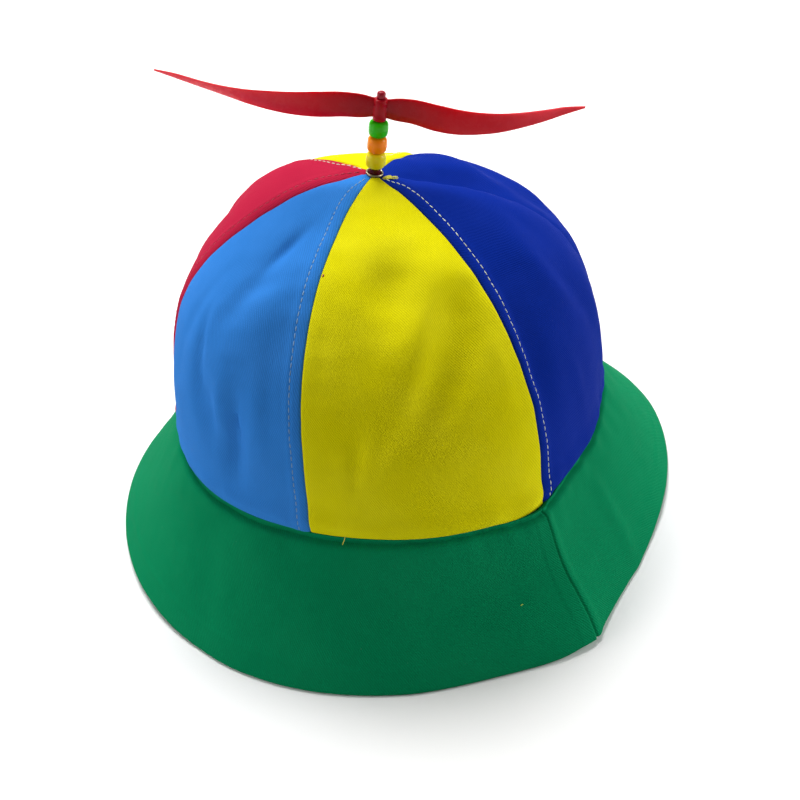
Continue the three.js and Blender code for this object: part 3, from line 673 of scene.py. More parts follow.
def stitch_tree():
    """Geometry nodes that lay a stitch at every pitch along the given lines, flat on the cloth."""
    tree = bpy.data.node_groups.new("row of stitches", "GeometryNodeTree")
    sockets = [
        ("Lines", "INPUT", "Geometry"), ("Pitch", "INPUT", "Float"), ("Length", "INPUT", "Float"),
        ("Thickness", "INPUT", "Float"), ("Unevenness", "INPUT", "Float"), ("Thread", "INPUT", "Material"),
        ("Stitches", "OUTPUT", "Geometry"),
    ]
    for label, side, kind in sockets:
        tree.interface.new_socket(label, in_out=side, socket_type=f"NodeSocket{kind}")
    given = tree.nodes.new("NodeGroupInput").outputs
    result = tree.nodes.new("NodeGroupOutput")
    line = place_node(tree, "GeometryNodeMeshToCurve", {"Mesh": given["Lines"]})
    steps = place_node(tree, "GeometryNodeResampleCurve", {"Curve": line.outputs[0]})
    # Resample Curve takes its mode from a menu socket in some versions and a setting in others
    if "Mode" in steps.inputs:
        steps.inputs["Mode"].default_value = "Length"
    else:
        steps.mode = "LENGTH"
    tree.links.new(given["Pitch"], steps.inputs["Length"])
    thick = given["Thickness"]
    thread_size = place_node(tree, "ShaderNodeCombineXYZ", {0: given["Length"], 1: thick, 2: thick})
    ball = place_node(tree, "GeometryNodeMeshUVSphere", {"Segments": 8, "Rings": 6, "Radius": 0.5})
    sockets = {"Geometry": ball.outputs["Mesh"], "Scale": thread_size.outputs[0]}
    stitch = place_node(tree, "GeometryNodeTransform", sockets)
    sockets = {"Name": "cloth_normal"}
    normal = place_node(tree, "GeometryNodeInputNamedAttribute", sockets, data_type="FLOAT_VECTOR")
    tangent = place_node(tree, "GeometryNodeInputTangent")
    sockets = {0: normal.outputs["Attribute"], 1: tangent.outputs[0]}
    facing = place_node(tree, "FunctionNodeAxesToRotation", sockets)
    facing.primary_axis = "Z"
    facing.secondary_axis = "X"
    unevenness = given["Unevenness"]
    less = arithmetic(tree, "MULTIPLY", unevenness, -1.0)
    lowest = place_node(tree, "ShaderNodeCombineXYZ", {1: less, 2: less}).outputs[0]
    highest = place_node(tree, "ShaderNodeCombineXYZ", {1: unevenness, 2: unevenness}).outputs[0]
    sockets = {"Min": lowest, "Max": highest, "Seed": 11}
    slip = place_node(tree, "FunctionNodeRandomValue", sockets, data_type="FLOAT_VECTOR")
    sockets = {"Rotation": facing.outputs[0], "Rotate By": slip.outputs[0]}
    turned = place_node(tree, "FunctionNodeRotateRotation", sockets, rotation_space="LOCAL")
    sockets = {"Points": steps.outputs[0], "Instance": stitch.outputs[0], "Rotation": turned.outputs[0]}
    laid = place_node(tree, "GeometryNodeInstanceOnPoints", sockets)
    real = place_node(tree, "GeometryNodeRealizeInstances", {0: laid.outputs[0]})
    smooth = place_node(tree, "GeometryNodeSetShadeSmooth", {0: real.outputs[0]})
    sockets = {"Geometry": smooth.outputs[0], "Material": given["Thread"]}
    thread = place_node(tree, "GeometryNodeSetMaterial", sockets)
    tree.links.new(thread.outputs[0], result.inputs[0])
    return tree


# Each thread has a painted shade colour for the grooves between its plies and a painted light colour for
# their crests
THREAD_COLOURS = {
    "cream": ((0.6, 0.66, 0.48), (0.84, 0.88, 0.7)),
    "grey": ((0.12, 0.24, 0.4), (0.22, 0.37, 0.54)),
    "red": ((0.3, 0.01, 0.03), (0.5, 0.02, 0.06)),
}


def thread_material(colour, shade, light):
    """Polyester thread, with the fine slanting plies of its twist, painted in the shade colour in their
    grooves and in the light colour on their crests.
    """
    material, tree, shader = new_material(colour + "_thread")
    shader.inputs["Sheen Weight"].default_value = 0.2
    place = place_node(tree, "ShaderNodeTexCoord").outputs["Object"]
    sockets = {"Vector": place, "Scale": 900.0, "Distortion": 1.5}
    plies = place_node(tree, "ShaderNodeTexWave", sockets, bands_direction="DIAGONAL").outputs["Fac"]
    rough = spread(tree, noise(tree, place, 600.0), 0.3, 0.7, 0.6, 0.8)
    feed_shader(tree, shader, blend(tree, plies, shade, light), rough, plies, 0.05 * MM)
    return material


def lay_stitches(name, paths, thread):
    """One mesh of all the stitches along the given lines."""
    mesh = bpy.data.meshes.new(name + "_lines")
    points = np.concatenate([path + normal * stitch_thickness * 0.12 for path, normal in paths])
    normals = np.concatenate([normal for _, normal in paths])
    edges = []
    first = 0
    for path, _ in paths:
        edges += [(first + place, first + place + 1) for place in range(len(path) - 1)]
        first += len(path)
    mesh.from_pydata((points * MM).tolist(), edges, [])
    attribute = mesh.attributes.new("cloth_normal", "FLOAT_VECTOR", "POINT")
    attribute.data.foreach_set("vector", normals.astype(np.float32).ravel())
    lines = bpy.data.objects.new(name + "_lines", mesh)
    scene.collection.objects.link(lines)
    modifier = lines.modifiers.new("stitches", "NODES")
    modifier.node_group = ROW_OF_STITCHES
    values = {
        "Pitch": stitch_pitch * MM, "Length": stitch_length * MM, "Thickness": stitch_thickness * MM,
        "Unevenness": stitch_unevenness, "Thread": thread,
    }
    for item in modifier.node_group.interface.items_tree:
        if item.in_out == "INPUT" and item.name in values:
            modifier[item.identifier] = values[item.name]
    bpy.context.view_layer.update()
    evaluated = lines.evaluated_get(bpy.context.evaluated_depsgraph_get())
    stitches = bpy.data.objects.new(name, bpy.data.meshes.new_from_object(evaluated))
    scene.collection.objects.link(stitches)
    bpy.data.objects.remove(lines)
    return stitches


ROW_OF_STITCHES = stitch_tree()
THREAD = {colour: thread_material(colour, *tints) for colour, tints in THREAD_COLOURS.items()}
for colour, thread in THREAD.items():
    rows = []
    for gore in GORES:
        rows += [topstitch_path(gore, edge) for edge, used in gore["topstitched"].items() if used == colour]
    topstitching = lay_stitches("topstitching_" + colour, rows, thread)
    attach(topstitching, "hat")

# Brim. One long sloping strip of green twill, two layers with a firm interlining, joined by one seam at
# the front right and sewn under the crown's edge. It stands on its own turned edge.

brim_edge_radius = 118.7
brim_wall = 2.2
brim_tuck = 0.3
brim_hollow = 1.5
brim_edge_round = 1.3
brim_shift = np.array([4.1, 1.3, 0])
brim_seam_azimuth = 28
brim_corner_azimuth = 24
brim_corner = 6.2
brim_corner_half_width = 12.3
BRIM_EDGE_WAVES = [(2, 0.071, 118), (3, 0.037, -1), (4, 0.015, 37)]
# Places where the edge lifts off the table: azimuth, half width, and lift as a share of the drop
BRIM_LIFTS = [(72, 20, 0.035), (196, 26, 0.05), (292, 22, 0.03)]


def brim_edge_lift(azimuth):
    lift = np.zeros_like(azimuth)
    for place, half_width, share in BRIM_LIFTS:
        aside = np.clip(azimuth_between(azimuth, place) / half_width, -1, 1)
        lift += share * brim_drop * np.cos(aside * math.pi / 2) ** 2
    return lift


def brim_point(azimuth, down):
    """Upper face of the brim at a share of its slope."""
    corner = brim_corner * corner_share(azimuth, brim_corner_azimuth, brim_corner_half_width)
    edge_radius = brim_edge_radius * edge_factor(BRIM_EDGE_WAVES, azimuth) + corner
    inner_radius = sewn_edge_radius(azimuth) - brim_tuck
    radius = inner_radius + (edge_radius - inner_radius) * down
    top_height = brim_drop + sewn_edge_rise(azimuth) - piece_gap
    edge_height = brim_edge_lift(azimuth) + brim_edge_round
    point = horizontal(azimuth) * radius[..., None] + brim_shift * down[..., None]
    point[..., 2] = top_height + (edge_height - top_height) * down - brim_hollow * 4 * down * (1 - down)
    return point + hat_middle


def brim_normal(azimuth, down):
    step = 0.01
    sideways = brim_point(azimuth + step, down) - brim_point(azimuth - step, down)
    downwards = brim_point(azimuth, down + step) - brim_point(azimuth, down - step)
    normal = np.cross(downwards, sideways)
    return normal / np.linalg.norm(normal, axis=-1, keepdims=True)


# Relief of the brim: its seam with the allowances pressed to the left, the ridge of the turned hem,
# puckers under the crown's edge, a hollow in front, and soft folds. Each fold has its azimuths at the
# top and at the edge, its half width, and its height.
brim_mean_radius = 104
brim_slope_length = 56
hem_width = 9.5
hem_ridge = 0.16
hem_ridge_width = 1.1
hem_rise = 0.1
edge_sink = 1.9
edge_sink_place = 1.4
edge_sink_width = 1.2
seam_groove = 0.85
seam_groove_width = 0.5
seam_corner = 3.2
seam_corner_reach = 11
allowance_rise = 0.3
allowance_width = 6.2
pressed_ridge = 0.5
pressed_ridge_place = 2.4
pressed_ridge_width = 1.7
front_hollow = 3.5
front_hollow_azimuth = 8
front_hollow_half_width = 26
front_hollow_place = 0.42
front_hollow_half_length = 0.26
brim_pucker = 0.28
brim_pucker_reach = 0.2
brim_wrinkle = 0.2
brim_fine_wrinkle = 0.05
BRIM_FOLDS = [((54.6, 50.1), 5, 0.9), ((-58, -50), 7, -0.8), ((-12, -8), 6, 0.5), ((110, 104), 8, 0.7),
              ((168, 172), 9, -0.8), ((236, 230), 8, 0.8)]
brim_columns = 560
brim_seam_columns = 110
brim_seam_reach = 9
brim_upper_rows = 62
brim_lower_rows = 34


def brim_relief(azimuth, down, point):
    aside = np.radians(azimuth_between(azimuth, brim_seam_azimuth)) * brim_mean_radius
    edge = 1 - smooth_step(0.97, 1.0, down) * 0.6
    relief = -seam_groove * np.exp(-((aside / seam_groove_width) ** 2)) * edge
    allowance = smooth_step(-allowance_width - 1, -allowance_width + 1, aside)
    relief += allowance_rise * allowance * (1 - smooth_step(-0.7, -0.2, aside)) * edge
    relief += pressed_ridge * np.exp(-((aside - pressed_ridge_place) / pressed_ridge_width) ** 2)
    from_edge = (1 - down) * brim_slope_length
    # The seam is a corner between two flatter stretches, and the cloth left of it is hollow
    relief += seam_corner * np.exp(-np.abs(aside) / seam_corner_reach) * edge
    hollow_aside = azimuth_between(azimuth, front_hollow_azimuth) / front_hollow_half_width
    hollow_along = (down - front_hollow_place) / front_hollow_half_length
    relief -= front_hollow * np.exp(-(hollow_aside**2) - hollow_along**2)
    # The brim sinks in beside the crown's edge, which it is sewn under
    from_crown = down * brim_slope_length
    relief -= edge_sink * np.exp(-(((from_crown - edge_sink_place) / edge_sink_width) ** 2))
    relief += hem_ridge * np.exp(-(((from_edge - hem_width) / hem_ridge_width) ** 2))
    relief += hem_rise * smooth_step(hem_width + 0.5, hem_width - 0.5, from_edge)
    # The stitched hem is stiffer than the cloth above it
    calm_edge_share = 1 - 0.65 * smooth_step(0.7, 1, down)
    for (top, bottom), width, height in BRIM_FOLDS:
        place = np.radians(azimuth_between(azimuth, top + (bottom - top) * down)) * brim_mean_radius
        relief += height * np.exp(-((place / width) ** 2)) * smooth_step(0, 0.35, down) * calm_edge_share
    gather = ripples(horizontal(azimuth) * crown_base_radius, 21, 12, 8, 18)
    relief += brim_pucker * gather * np.exp(-((down / brim_pucker_reach) ** 2))
    wrinkles = brim_wrinkle * ripples(point, 23, 14, 30, 80)
    wrinkles += brim_fine_wrinkle * ripples(point, 24, 14, 7, 16)
    relief += wrinkles * smooth_step(0, 0.15, down) * calm_edge_share
    return relief


def make_brim():
    near = np.linspace(-brim_seam_reach, brim_seam_reach, brim_seam_columns)
    far = np.linspace(brim_seam_reach, 360 - brim_seam_reach, brim_columns)[1:-1]
    turns = np.concatenate([near, far]) + brim_seam_azimuth
    half_wall = brim_wall / 2

    def faces_at(down):
        azimuth = np.repeat(turns[None, :], len(down), 0)
        point = brim_point(azimuth, down)
        normal = brim_normal(azimuth, down)
        # Relief pushes the edge level with the table, so that the brim still stands on it
        at_edge = smooth_step(0.75, 1, down)[..., None]
        push = normal * (1 - at_edge) + horizontal(azimuth) * at_edge
        relief = brim_relief(azimuth, down, point)[..., None]
        return point + push * relief - normal * half_wall, normal

    # The middle of the wall ends half a wall above the table, and the edge is turned round it
    edge_point = brim_point(turns, np.ones_like(turns))
    edge_normal = brim_normal(turns, np.ones_like(turns))
    slope = brim_drop + sewn_edge_rise(turns) - brim_edge_lift(turns)
    last = 1 - (half_wall * (1 + edge_normal[:, 2]) - brim_edge_round) / slope
    shares = np.linspace(0, 1, brim_upper_rows)
    crowd = shares[:, None] * last
    middle, normal = faces_at(crowd)
    upper = middle + normal * half_wall
    keep = np.linspace(0, brim_upper_rows - 1, brim_lower_rows).astype(int)
    lower = (middle - normal * half_wall)[keep][::-1]

    def turned_edge(row, outwards, start, end, steps):
        angles = np.radians(np.linspace(start, end, steps + 2)[1:-1])[:, None, None]
        return middle[row] + half_wall * (normal[row] * np.cos(angles) + outwards * np.sin(angles))

    downwards = middle[-1] - middle[-2]
    downwards /= np.linalg.norm(downwards, axis=-1, keepdims=True)
    upwards = middle[0] - middle[1]
    upwards /= np.linalg.norm(upwards, axis=-1, keepdims=True)
    hem = turned_edge(-1, downwards, 0, 180, 9)
    top = turned_edge(0, upwards * 0.25, 180, 0, 3)
    section = np.concatenate([upper, hem, lower, top])
    # A column that relief pushed below the table is lifted onto it
    section[..., 2] -= np.minimum(section[..., 2].min(0), 0)
    count, columns = section.shape[:2]
    across = np.radians(turns - brim_seam_azimuth) * brim_mean_radius
    steps = np.linalg.norm(np.diff(section, axis=0, append=section[:1]), axis=-1).mean(1)
    along = np.concatenate([[0], np.cumsum(steps)])
    row, column = np.meshgrid(np.arange(count), np.arange(columns), indexing="ij")
    next_row, next_column = (row + 1) % count, (column + 1) % columns
    corners = [(row, column), (next_row, column), (next_row, next_column), (row, next_column)]
    faces = np.stack([(r * columns + c).ravel() for r, c in corners], -1)
    mesh = bpy.data.meshes.new("brim")
    mesh.from_pydata((section.reshape(-1, 3) * MM).tolist(), [], faces.tolist())
    full_turn = np.append(across, across[0] + 2 * math.pi * brim_mean_radius)
    places = [(row, column), (row + 1, column), (row + 1, column + 1), (row, column + 1)]
    laid = np.stack([np.stack([full_turn[c].ravel(), -along[r].ravel()], -1) for r, c in places], 1)
    laid_flat = mesh.uv_layers.new(name="cloth")
    laid_flat.uv.foreach_set("vector", (laid / 100).astype(np.float32).ravel())
    return mesh


brim = finished("cloth_brim", make_brim(), CLOTH["fabric_green"])
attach(brim, "hat")
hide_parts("brim")

# Thread ends. A frayed tuft of the front gore's yellow yarn lies beside the eyelet, a short end hangs
# from the crown's edge, and specks of thread cling to the brim and to the sky gore's seam.

strand_samples = 9
strand_sides = 6
tuft_strands = 9
tuft_seed = 4


def cloth_directions(normal):
    side = np.cross((0, 0, 1), normal)
    side /= np.linalg.norm(side)
    return side, np.cross(normal, side), normal


def place_on_gore(name, across, up):
    gore = next(row for row in GORES if row["name"] == name)
    point, normal = cloth_face(gore, np.array([across]), np.array([up]))
    return point[0], cloth_directions(normal[0])


def place_on_brim(azimuth, down):
    where = np.array([[azimuth]]), np.array([[down]])
    point, normal = brim_point(*where), brim_normal(*where)
    point = point + normal * brim_relief(*where, point)[..., None]
    return point[0, 0], cloth_directions(normal[0, 0])


def strand(base, directions, bend, tip, thickness):
    """Rings of a thread from a place on the cloth, past a bend to its tip, both given in millimetres
    sideways, up the cloth and off it."""
    share = np.linspace(0, 1, strand_samples)[:, None]
    steps = 2 * share * (1 - share) * np.array(bend) + share**2 * np.array(tip)
    path = base + steps @ np.array(directions)
    along = np.gradient(path, axis=0)
    along /= np.linalg.norm(along, axis=-1, keepdims=True)
    off = np.array(directions[2]) - along * (along @ directions[2])[:, None]
    off /= np.linalg.norm(off, axis=-1, keepdims=True)
    turns = np.linspace(0, 2 * math.pi, strand_sides, endpoint=False)[None, :, None]
    ring = off[:, None] * np.cos(turns) + np.cross(along, off)[:, None] * np.sin(turns)
    taper = (thickness / 2 * np.array([0.6, *[1] * (strand_samples - 2), 0.35]))[:, None, None]
    return path[:, None] + ring * taper


def join_rings(shape, rings):
    """Faces between each ring of corners and the next, and across both ends."""
    for near, far in zip(rings, rings[1:]):
        for side in range(len(near)):
            after = (side + 1) % len(near)
            shape.faces.new([near[side], near[after], far[after], far[side]])
    shape.faces.new(rings[0][::-1])
    shape.faces.new(rings[-1])


def mesh_of(name, shape):
    mesh = bpy.data.meshes.new(name)
    shape.to_mesh(mesh)
    shape.free()
    return mesh


def thread_piece(name, strands, material):
    """One piece made of several strands, each closed at both ends."""
    shape = bmesh.new()
    for rings in strands:
        join_rings(shape, [[shape.verts.new(point * MM) for point in ring] for ring in rings])
    bmesh.ops.recalc_face_normals(shape, faces=shape.faces)
    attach(finished(name, mesh_of(name, shape), material), "hat")


def frayed_tuft():
    random = np.random.default_rng(tuft_seed)
    strands = []
    for _ in range(tuft_strands):
        across, up = random.uniform(0.03, 0.3), random.uniform(0.965, 0.973)
        reach = random.uniform(2.8, 5.6)
        bend = (random.uniform(-0.6, 0.5), -0.5 * reach, random.uniform(0.7, 1.4))
        tip = (random.uniform(-0.6, 1.0), -reach, random.uniform(0.2, 0.7))
        place = place_on_gore("panel_front_right", across, up)
        strands.append(strand(*place, bend, tip, random.uniform(0.35, 0.6)))
    return strands


# The yarns also have a painted shade colour and a painted light colour for their plies
yellow_yarn = thread_material("yellow", (0.52, 0.47, 0.01), (0.82, 0.77, 0.08))
thread_piece("frayed_tuft", frayed_tuft(), yellow_yarn)
edge_place = place_on_gore("panel_front", 0.14, 0.006)
loose_end = strand(*edge_place, (0.3, -0.6, 1.1), (-0.9, -3.4, 0.9), 0.3)
thread_piece("loose_thread", [loose_end], yellow_yarn)
pale_yarn = thread_material("pale_green", (0.28, 0.46, 0.03), (0.45, 0.65, 0.1))
speck = strand(*place_on_brim(15.6, 0.56), (0.5, 0.5, 0.35), (0.9, 0.2, 0.1), 0.5)
thread_piece("brim_speck", [speck], pale_yarn)
seam_place = place_on_gore("panel_front", 0.014, 0.62)
red_speck = strand(*seam_place, (0.3, 0.5, 0.3), (0.2, 1.0, 0.1), 0.5)
thread_piece("seam_speck", [red_speck], THREAD["red"])

# Eyelet. A bright plated ring with a rolled rim, pressed through the tips of the gores from above and
# clinched over them inside the crown.

eyelet_flange_radius = 3.5
eyelet_flange_thickness = 0.8
axle_foot_radius = 2.3
eyelet_bore_radius = axle_foot_radius + piece_gap
eyelet_top = piece_gap + eyelet_flange_thickness
cloth_underside = -crown_wall - piece_gap
eyelet_bottom = cloth_underside - eyelet_flange_thickness
turned_sides = 72
lean = Vector((0, 0, 1)).rotation_difference(Vector(pin_axis)).to_matrix().to_4x4()
stand_on_pin = Matrix.Translation(Vector(pin_foot)) @ lean


def arc(centre_radius, centre_height, size, start, end, steps):
    """Points of an arc in a turned profile, its angles measured from straight out."""
    angles = np.radians(np.linspace(start, end, steps + 1))
    return [(centre_radius + size * math.cos(a), centre_height + size * math.sin(a)) for a in angles]


def turned_piece(name, profile, material):
    """A piece turned about the pin from a closed profile of radius and height above the cloth, which
    runs up the outside. The profile may start and end on the axis."""
    shape = bmesh.new()
    rings = []
    all_round = [2 * math.pi * side / turned_sides for side in range(turned_sides)]
    for radius, height in profile:
        angles = all_round if radius else [0]
        corners = [(radius * math.cos(a), radius * math.sin(a), height) for a in angles]
        rings.append([shape.verts.new(corner) for corner in corners])
    pairs = list(zip(rings, rings[1:]))
    if len(rings[0]) > 1:
        pairs.append((rings[-1], rings[0]))
    for lower, upper in pairs:
        for side in range(turned_sides):
            after = (side + 1) % turned_sides
            corners = [lower[side % len(lower)], lower[after % len(lower)]]
            corners += [upper[after % len(upper)], upper[side % len(upper)]]
            distinct = list(dict.fromkeys(corners))
            if len(distinct) > 2:
                shape.faces.new(distinct)
    bmesh.ops.transform(shape, matrix=Matrix.Scale(MM, 4) @ stand_on_pin, verts=shape.verts)
    piece = finished(name, mesh_of(name, shape), material)
    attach(piece, "hat")
    return piece


def metal_material():
    """Bright plated brass, a little dulled and scratched."""
    material, tree, shader = new_material("eyelet_metal")
    place = place_node(tree, "ShaderNodeTexCoord").outputs["Object"]
    dulling = noise(tree, place, 420.0, 4.0, 0.6)
    tint = blend(tree, spread(tree, dulling, 0.35, 0.7, 0, 1), (0.5, 0.45, 0.34), (0.22, 0.17, 0.1))
    rough = spread(tree, dulling, 0.3, 0.7, 0.26, 0.5)
    feed_shader(tree, shader, tint, rough, noise(tree, place, 2600.0, 3.0), 0.01 * MM)
    shader.inputs["Metallic"].default_value = 1.0
    return material


flange_half = eyelet_flange_thickness / 2
rim_round = flange_half * 0.6
roll_radius = (eyelet_flange_radius - eyelet_bore_radius) / 2
eyelet_profile = [
    (eyelet_bore_radius, eyelet_bottom + flange_half),
    *arc(eyelet_bore_radius + flange_half, eyelet_bottom + flange_half, flange_half, 180, 270, 5),
    *arc(eyelet_flange_radius - flange_half, eyelet_bottom + flange_half, flange_half, -90, 90, 8),
    (eyelet_barrel_radius, cloth_underside),
    (eyelet_barrel_radius, piece_gap),
    *arc(eyelet_flange_radius - rim_round, piece_gap + rim_round, rim_round, -90, 20, 5),
    *arc(eyelet_bore_radius + roll_radius, eyelet_top - roll_radius, roll_radius, 40, 180, 12),
]
eyelet = turned_piece("eyelet_ring", eyelet_profile, metal_material())
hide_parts("eyelet")

# Pin. One glossy dark-red moulding: a disc inside the crown, a foot that fills the eyelet, a thin shaft
# through the beads and the propeller, and a knob that keeps the propeller on.

axle_radius = 1
axle_foot_height = 2.5
axle_disc_radius = 5
axle_disc_thickness = 1.2
knob_radius = 1.65
knob_height = 2.5
bead_height = 6.2
bead_count = 3
hub_height = 8.6
foot_top = eyelet_top + axle_foot_height - eyelet_flange_thickness
first_bead_bottom = foot_top + piece_gap
bead_pitch = bead_height + piece_gap
hub_bottom = first_bead_bottom + bead_count * bead_pitch
hub_top = hub_bottom + hub_height
knob_bottom = hub_top + piece_gap


def moulded_plastic(name, colour, deep, roughness, coat, flow_scale, clouding, depth, painted_light_by_distance=()):
    """Glossy moulded plastic, which light enters to a depth in millimetres: slightly cloudy colour, fine
    handling scratches and faint sink marks. Painted light and shade can be given as further colours, each
    with the distances from the joint between which that colour comes in."""
    material, tree, shader = new_material(name)
    shader.inputs["Coat Weight"].default_value = coat
    shader.inputs["Coat Roughness"].default_value = 0.04
    shader.inputs["Specular IOR Level"].default_value = 0.1
    shader.inputs["Subsurface Weight"].default_value = 0.6 if depth else 0
    shader.inputs["Subsurface Radius"].default_value = (1.0, 0.45, 0.25)
    shader.inputs["Subsurface Scale"].default_value = depth * MM
    place = place_node(tree, "ShaderNodeTexCoord").outputs["Object"]
    clouds = spread(tree, noise(tree, place, flow_scale, 2.0), 0.35, 0.65, 0, clouding)
    shade = blend(tree, clouds, colour, deep)
    joint = tuple(pin_point * MM)
    # Each painted colour of light or shade takes over with the distance from the joint
    for painted_colour, near, far in painted_light_by_distance:
        apart = place_node(tree, "ShaderNodeVectorMath", {0: place, 1: joint}, operation="DISTANCE")
        painted_share = spread(tree, apart.outputs["Value"], near * MM, far * MM, 0, 1)
        shade = blend(tree, painted_share, shade, painted_colour)
    scuffs = noise(tree, place, flow_scale * 8, 5.0, 0.7)
    sinks = noise(tree, place, flow_scale * 1.5, 1.0)
    height = arithmetic(tree, "MULTIPLY_ADD", scuffs, 0.02, sinks)
    rough = spread(tree, scuffs, 0.3, 0.75, roughness, roughness + 0.16)
    feed_shader(tree, shader, shade, rough, height, 0.1 * MM, strength=0.5)
    return material


disc_top = eyelet_bottom - piece_gap
bevel = 0.4
axle_profile = [
    (0, disc_top - axle_disc_thickness),
    *arc(axle_disc_radius - bevel, disc_top - axle_disc_thickness + bevel, bevel, -90, 0, 5),
    *arc(axle_disc_radius - 0.2, disc_top - 0.2, 0.2, 0, 90, 3),
    (axle_foot_radius, disc_top),
    *arc(axle_foot_radius - bevel, foot_top - bevel, bevel, 0, 90, 5),
    (axle_radius, foot_top),
    (axle_radius, knob_bottom),
    *arc(knob_radius - 0.25, knob_bottom + 0.25, 0.25, -90, 0, 3),
    *arc(knob_radius - 1.1, knob_bottom + knob_height - 1.1, 1.1, 0, 90, 9)[:-1],
    (0, knob_bottom + knob_height),
]
axle_plastic = moulded_plastic(
    "axle_plastic", (0.3, 0.006, 0.018), (0.18, 0.003, 0.008),
    roughness=0.28, coat=0.2, flow_scale=200.0, clouding=0.4, depth=1.0,
    # The foot is painted darker, as painted shade between the beads and the eyelet
    painted_light_by_distance=[((0.09, 0.002, 0.006), 12, 20)],
)
axle = turned_piece("pin", axle_profile, axle_plastic)
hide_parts("axle")

# Beads. Three barrel-shaped pony beads, threaded on the pin: yellow, orange and green, moulded in
# slightly see-through plastic, each with the fine ridge of its mould round the middle.

bead_radius = 3.7
bead_bore_radius = 1.5
bead_bore_round = 0.3
bead_round = 1.6
bead_swell = 0.08
mould_ridge = 0.03
mould_ridge_half_width = 0.16
BEADS = [
    ("bead_yellow", (0.8, 0.7, 0.01), (0.66, 0.5, 0.005)),
    ("bead_orange", (1.0, 0.27, 0.002), (0.95, 0.18, 0.001)),
    ("bead_green", (0.035, 0.52, 0.002), (0.015, 0.36, 0.001)),
]


def bead_profile(bottom):
    top = bottom + bead_height
    middle = (bottom + top) / 2
    shoulder = bead_radius - bead_round
    belly = bead_radius + bead_swell
    mouth = bead_bore_radius + bead_bore_round
    return [
        (bead_bore_radius, bottom + bead_bore_round),
        *arc(mouth, bottom + bead_bore_round, bead_bore_round, 180, 270, 3),
        *arc(shoulder, bottom + bead_round, bead_round, -90, 0, 9),
        (belly, middle - mould_ridge_half_width),
        (belly + mould_ridge, middle),
        (belly, middle + mould_ridge_half_width),
        *arc(shoulder, top - bead_round, bead_round, 0, 90, 9),
        *arc(mouth, top - bead_bore_round, bead_bore_round, 90, 180, 3),
    ]


for place, (node, colour, deep) in enumerate(BEADS):
    plastic = moulded_plastic(
        node, colour, deep, roughness=0.22, coat=0.25, flow_scale=110.0, clouding=0.3, depth=3.0
    )
    bead = turned_piece("pony_" + node, bead_profile(first_bead_bottom + place * bead_pitch), plastic)
    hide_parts(node)

# Propeller. One thin moulding in clear red plastic: a tall hub with a running bore on the pin, and two
# blades that stand almost on edge beside the hub and twist out to flat rising points.

blade_reach_right = 74.9
blade_reach_left = 83.5
blade_chord = 10.4
blade_thickness = 1.4
blade_tip_rise_right = 8.3
blade_tip_rise_left = 5.7
blade_height_on_hub = 5.2
hub_radius = 2.6
hub_round = 0.5
hub_collar = 0.1
hub_sides = 64
hub_bore_radius = axle_radius + 0.3
bore_overrun = 1
propeller_turn = -13
blade_steps = 90
blade_sides = 28
# Reach, chord and thickness as shares of the greatest ones, pitch angle, and rise as a share of the
# tip's rise
BLADE_STATIONS = np.array([
    (0.01, 0.72, 1, 92, -0.06),
    (0.035, 0.75, 1, 92, -0.06),
    (0.07, 0.86, 1, 92, -0.06),
    (0.16, 0.95, 0.95, 91, -0.08),
    (0.28, 1, 0.9, 87, -0.27),
    (0.4, 0.92, 0.85, 83, -0.37),
    (0.5, 0.8, 0.8, 79, -0.33),
    (0.6, 0.68, 0.75, 69, -0.2),
    (0.7, 0.56, 0.7, 59, 0.04),
    (0.8, 0.44, 0.66, 55, 0.34),
    (0.91, 0.27, 0.6, 60, 0.72),
    (1, 0.08, 0.4, 62, 0.97),
])


def smooth_through(positions, values, at):
    """A smooth line through the stations, without overshoot at its ends."""
    slopes = np.gradient(values, positions)
    place = np.clip(np.searchsorted(positions, at) - 1, 0, len(positions) - 2)
    span = positions[place + 1] - positions[place]
    share = (at - positions[place]) / span
    square, cube = share**2, share**3
    start = (2 * cube - 3 * square + 1) * values[place] + (cube - 2 * square + share) * span * slopes[place]
    end = (3 * square - 2 * cube) * values[place + 1] + (cube - square) * span * slopes[place + 1]
    return start + end


def blade(shape, side, blade_reach, blade_tip_rise):
    """One blade, lofted along its reach; side is 1 for the right one and -1 for the left."""
    reaches = np.linspace(BLADE_STATIONS[0, 0], 1, blade_steps)
    chords, thicknesses, pitches, rises = [
        smooth_through(BLADE_STATIONS[:, 0], BLADE_STATIONS[:, column], reaches) for column in range(1, 5)
    ]
    rings = []
    for reach, chord, thickness, pitch, rise in zip(reaches, chords, thicknesses, pitches, rises):
        turn = math.radians(pitch)
        ring = []
        for corner in range(blade_sides):
            angle = 2 * math.pi * corner / blade_sides
            chordwise = math.cos(angle) * chord * blade_chord / 2
            # The blade is a flat sheet with thin rounded edges
            swell = math.copysign(abs(math.sin(angle)) ** 0.75, math.sin(angle))
            through = swell * thickness * blade_thickness / 2
            y = chordwise * math.cos(turn) - through * math.sin(turn)
            z = chordwise * math.sin(turn) + through * math.cos(turn)
            height = hub_bottom + blade_height_on_hub + rise * blade_tip_rise + z
            ring.append(shape.verts.new((side * reach * blade_reach, side * y, height)))
        rings.append(ring)
    join_rings(shape, rings)


def hub_part(shape, profile):
    """A closed turned form on the pin's axis, for the hub and for its bore."""
    angles = np.linspace(0, 2 * math.pi, hub_sides, endpoint=False)
    rings = []
    for radius, height in profile:
        rings.append([shape.verts.new((radius * math.cos(a), radius * math.sin(a), height)) for a in angles])
    join_rings(shape, rings)


def scratch_object(name, build):
    shape = bmesh.new()
    build(shape)
    bmesh.ops.recalc_face_normals(shape, faces=shape.faces)
    scratch = bpy.data.objects.new(name, mesh_of(name, shape))
    scene.collection.objects.link(scratch)
    return scratch


def hub_collar_outline(middle):
    """A fine moulded collar round the hub."""
    return [
        (hub_radius, middle - 0.2),
        (hub_radius + hub_collar, middle),
        (hub_radius, middle + 0.2),
    ]


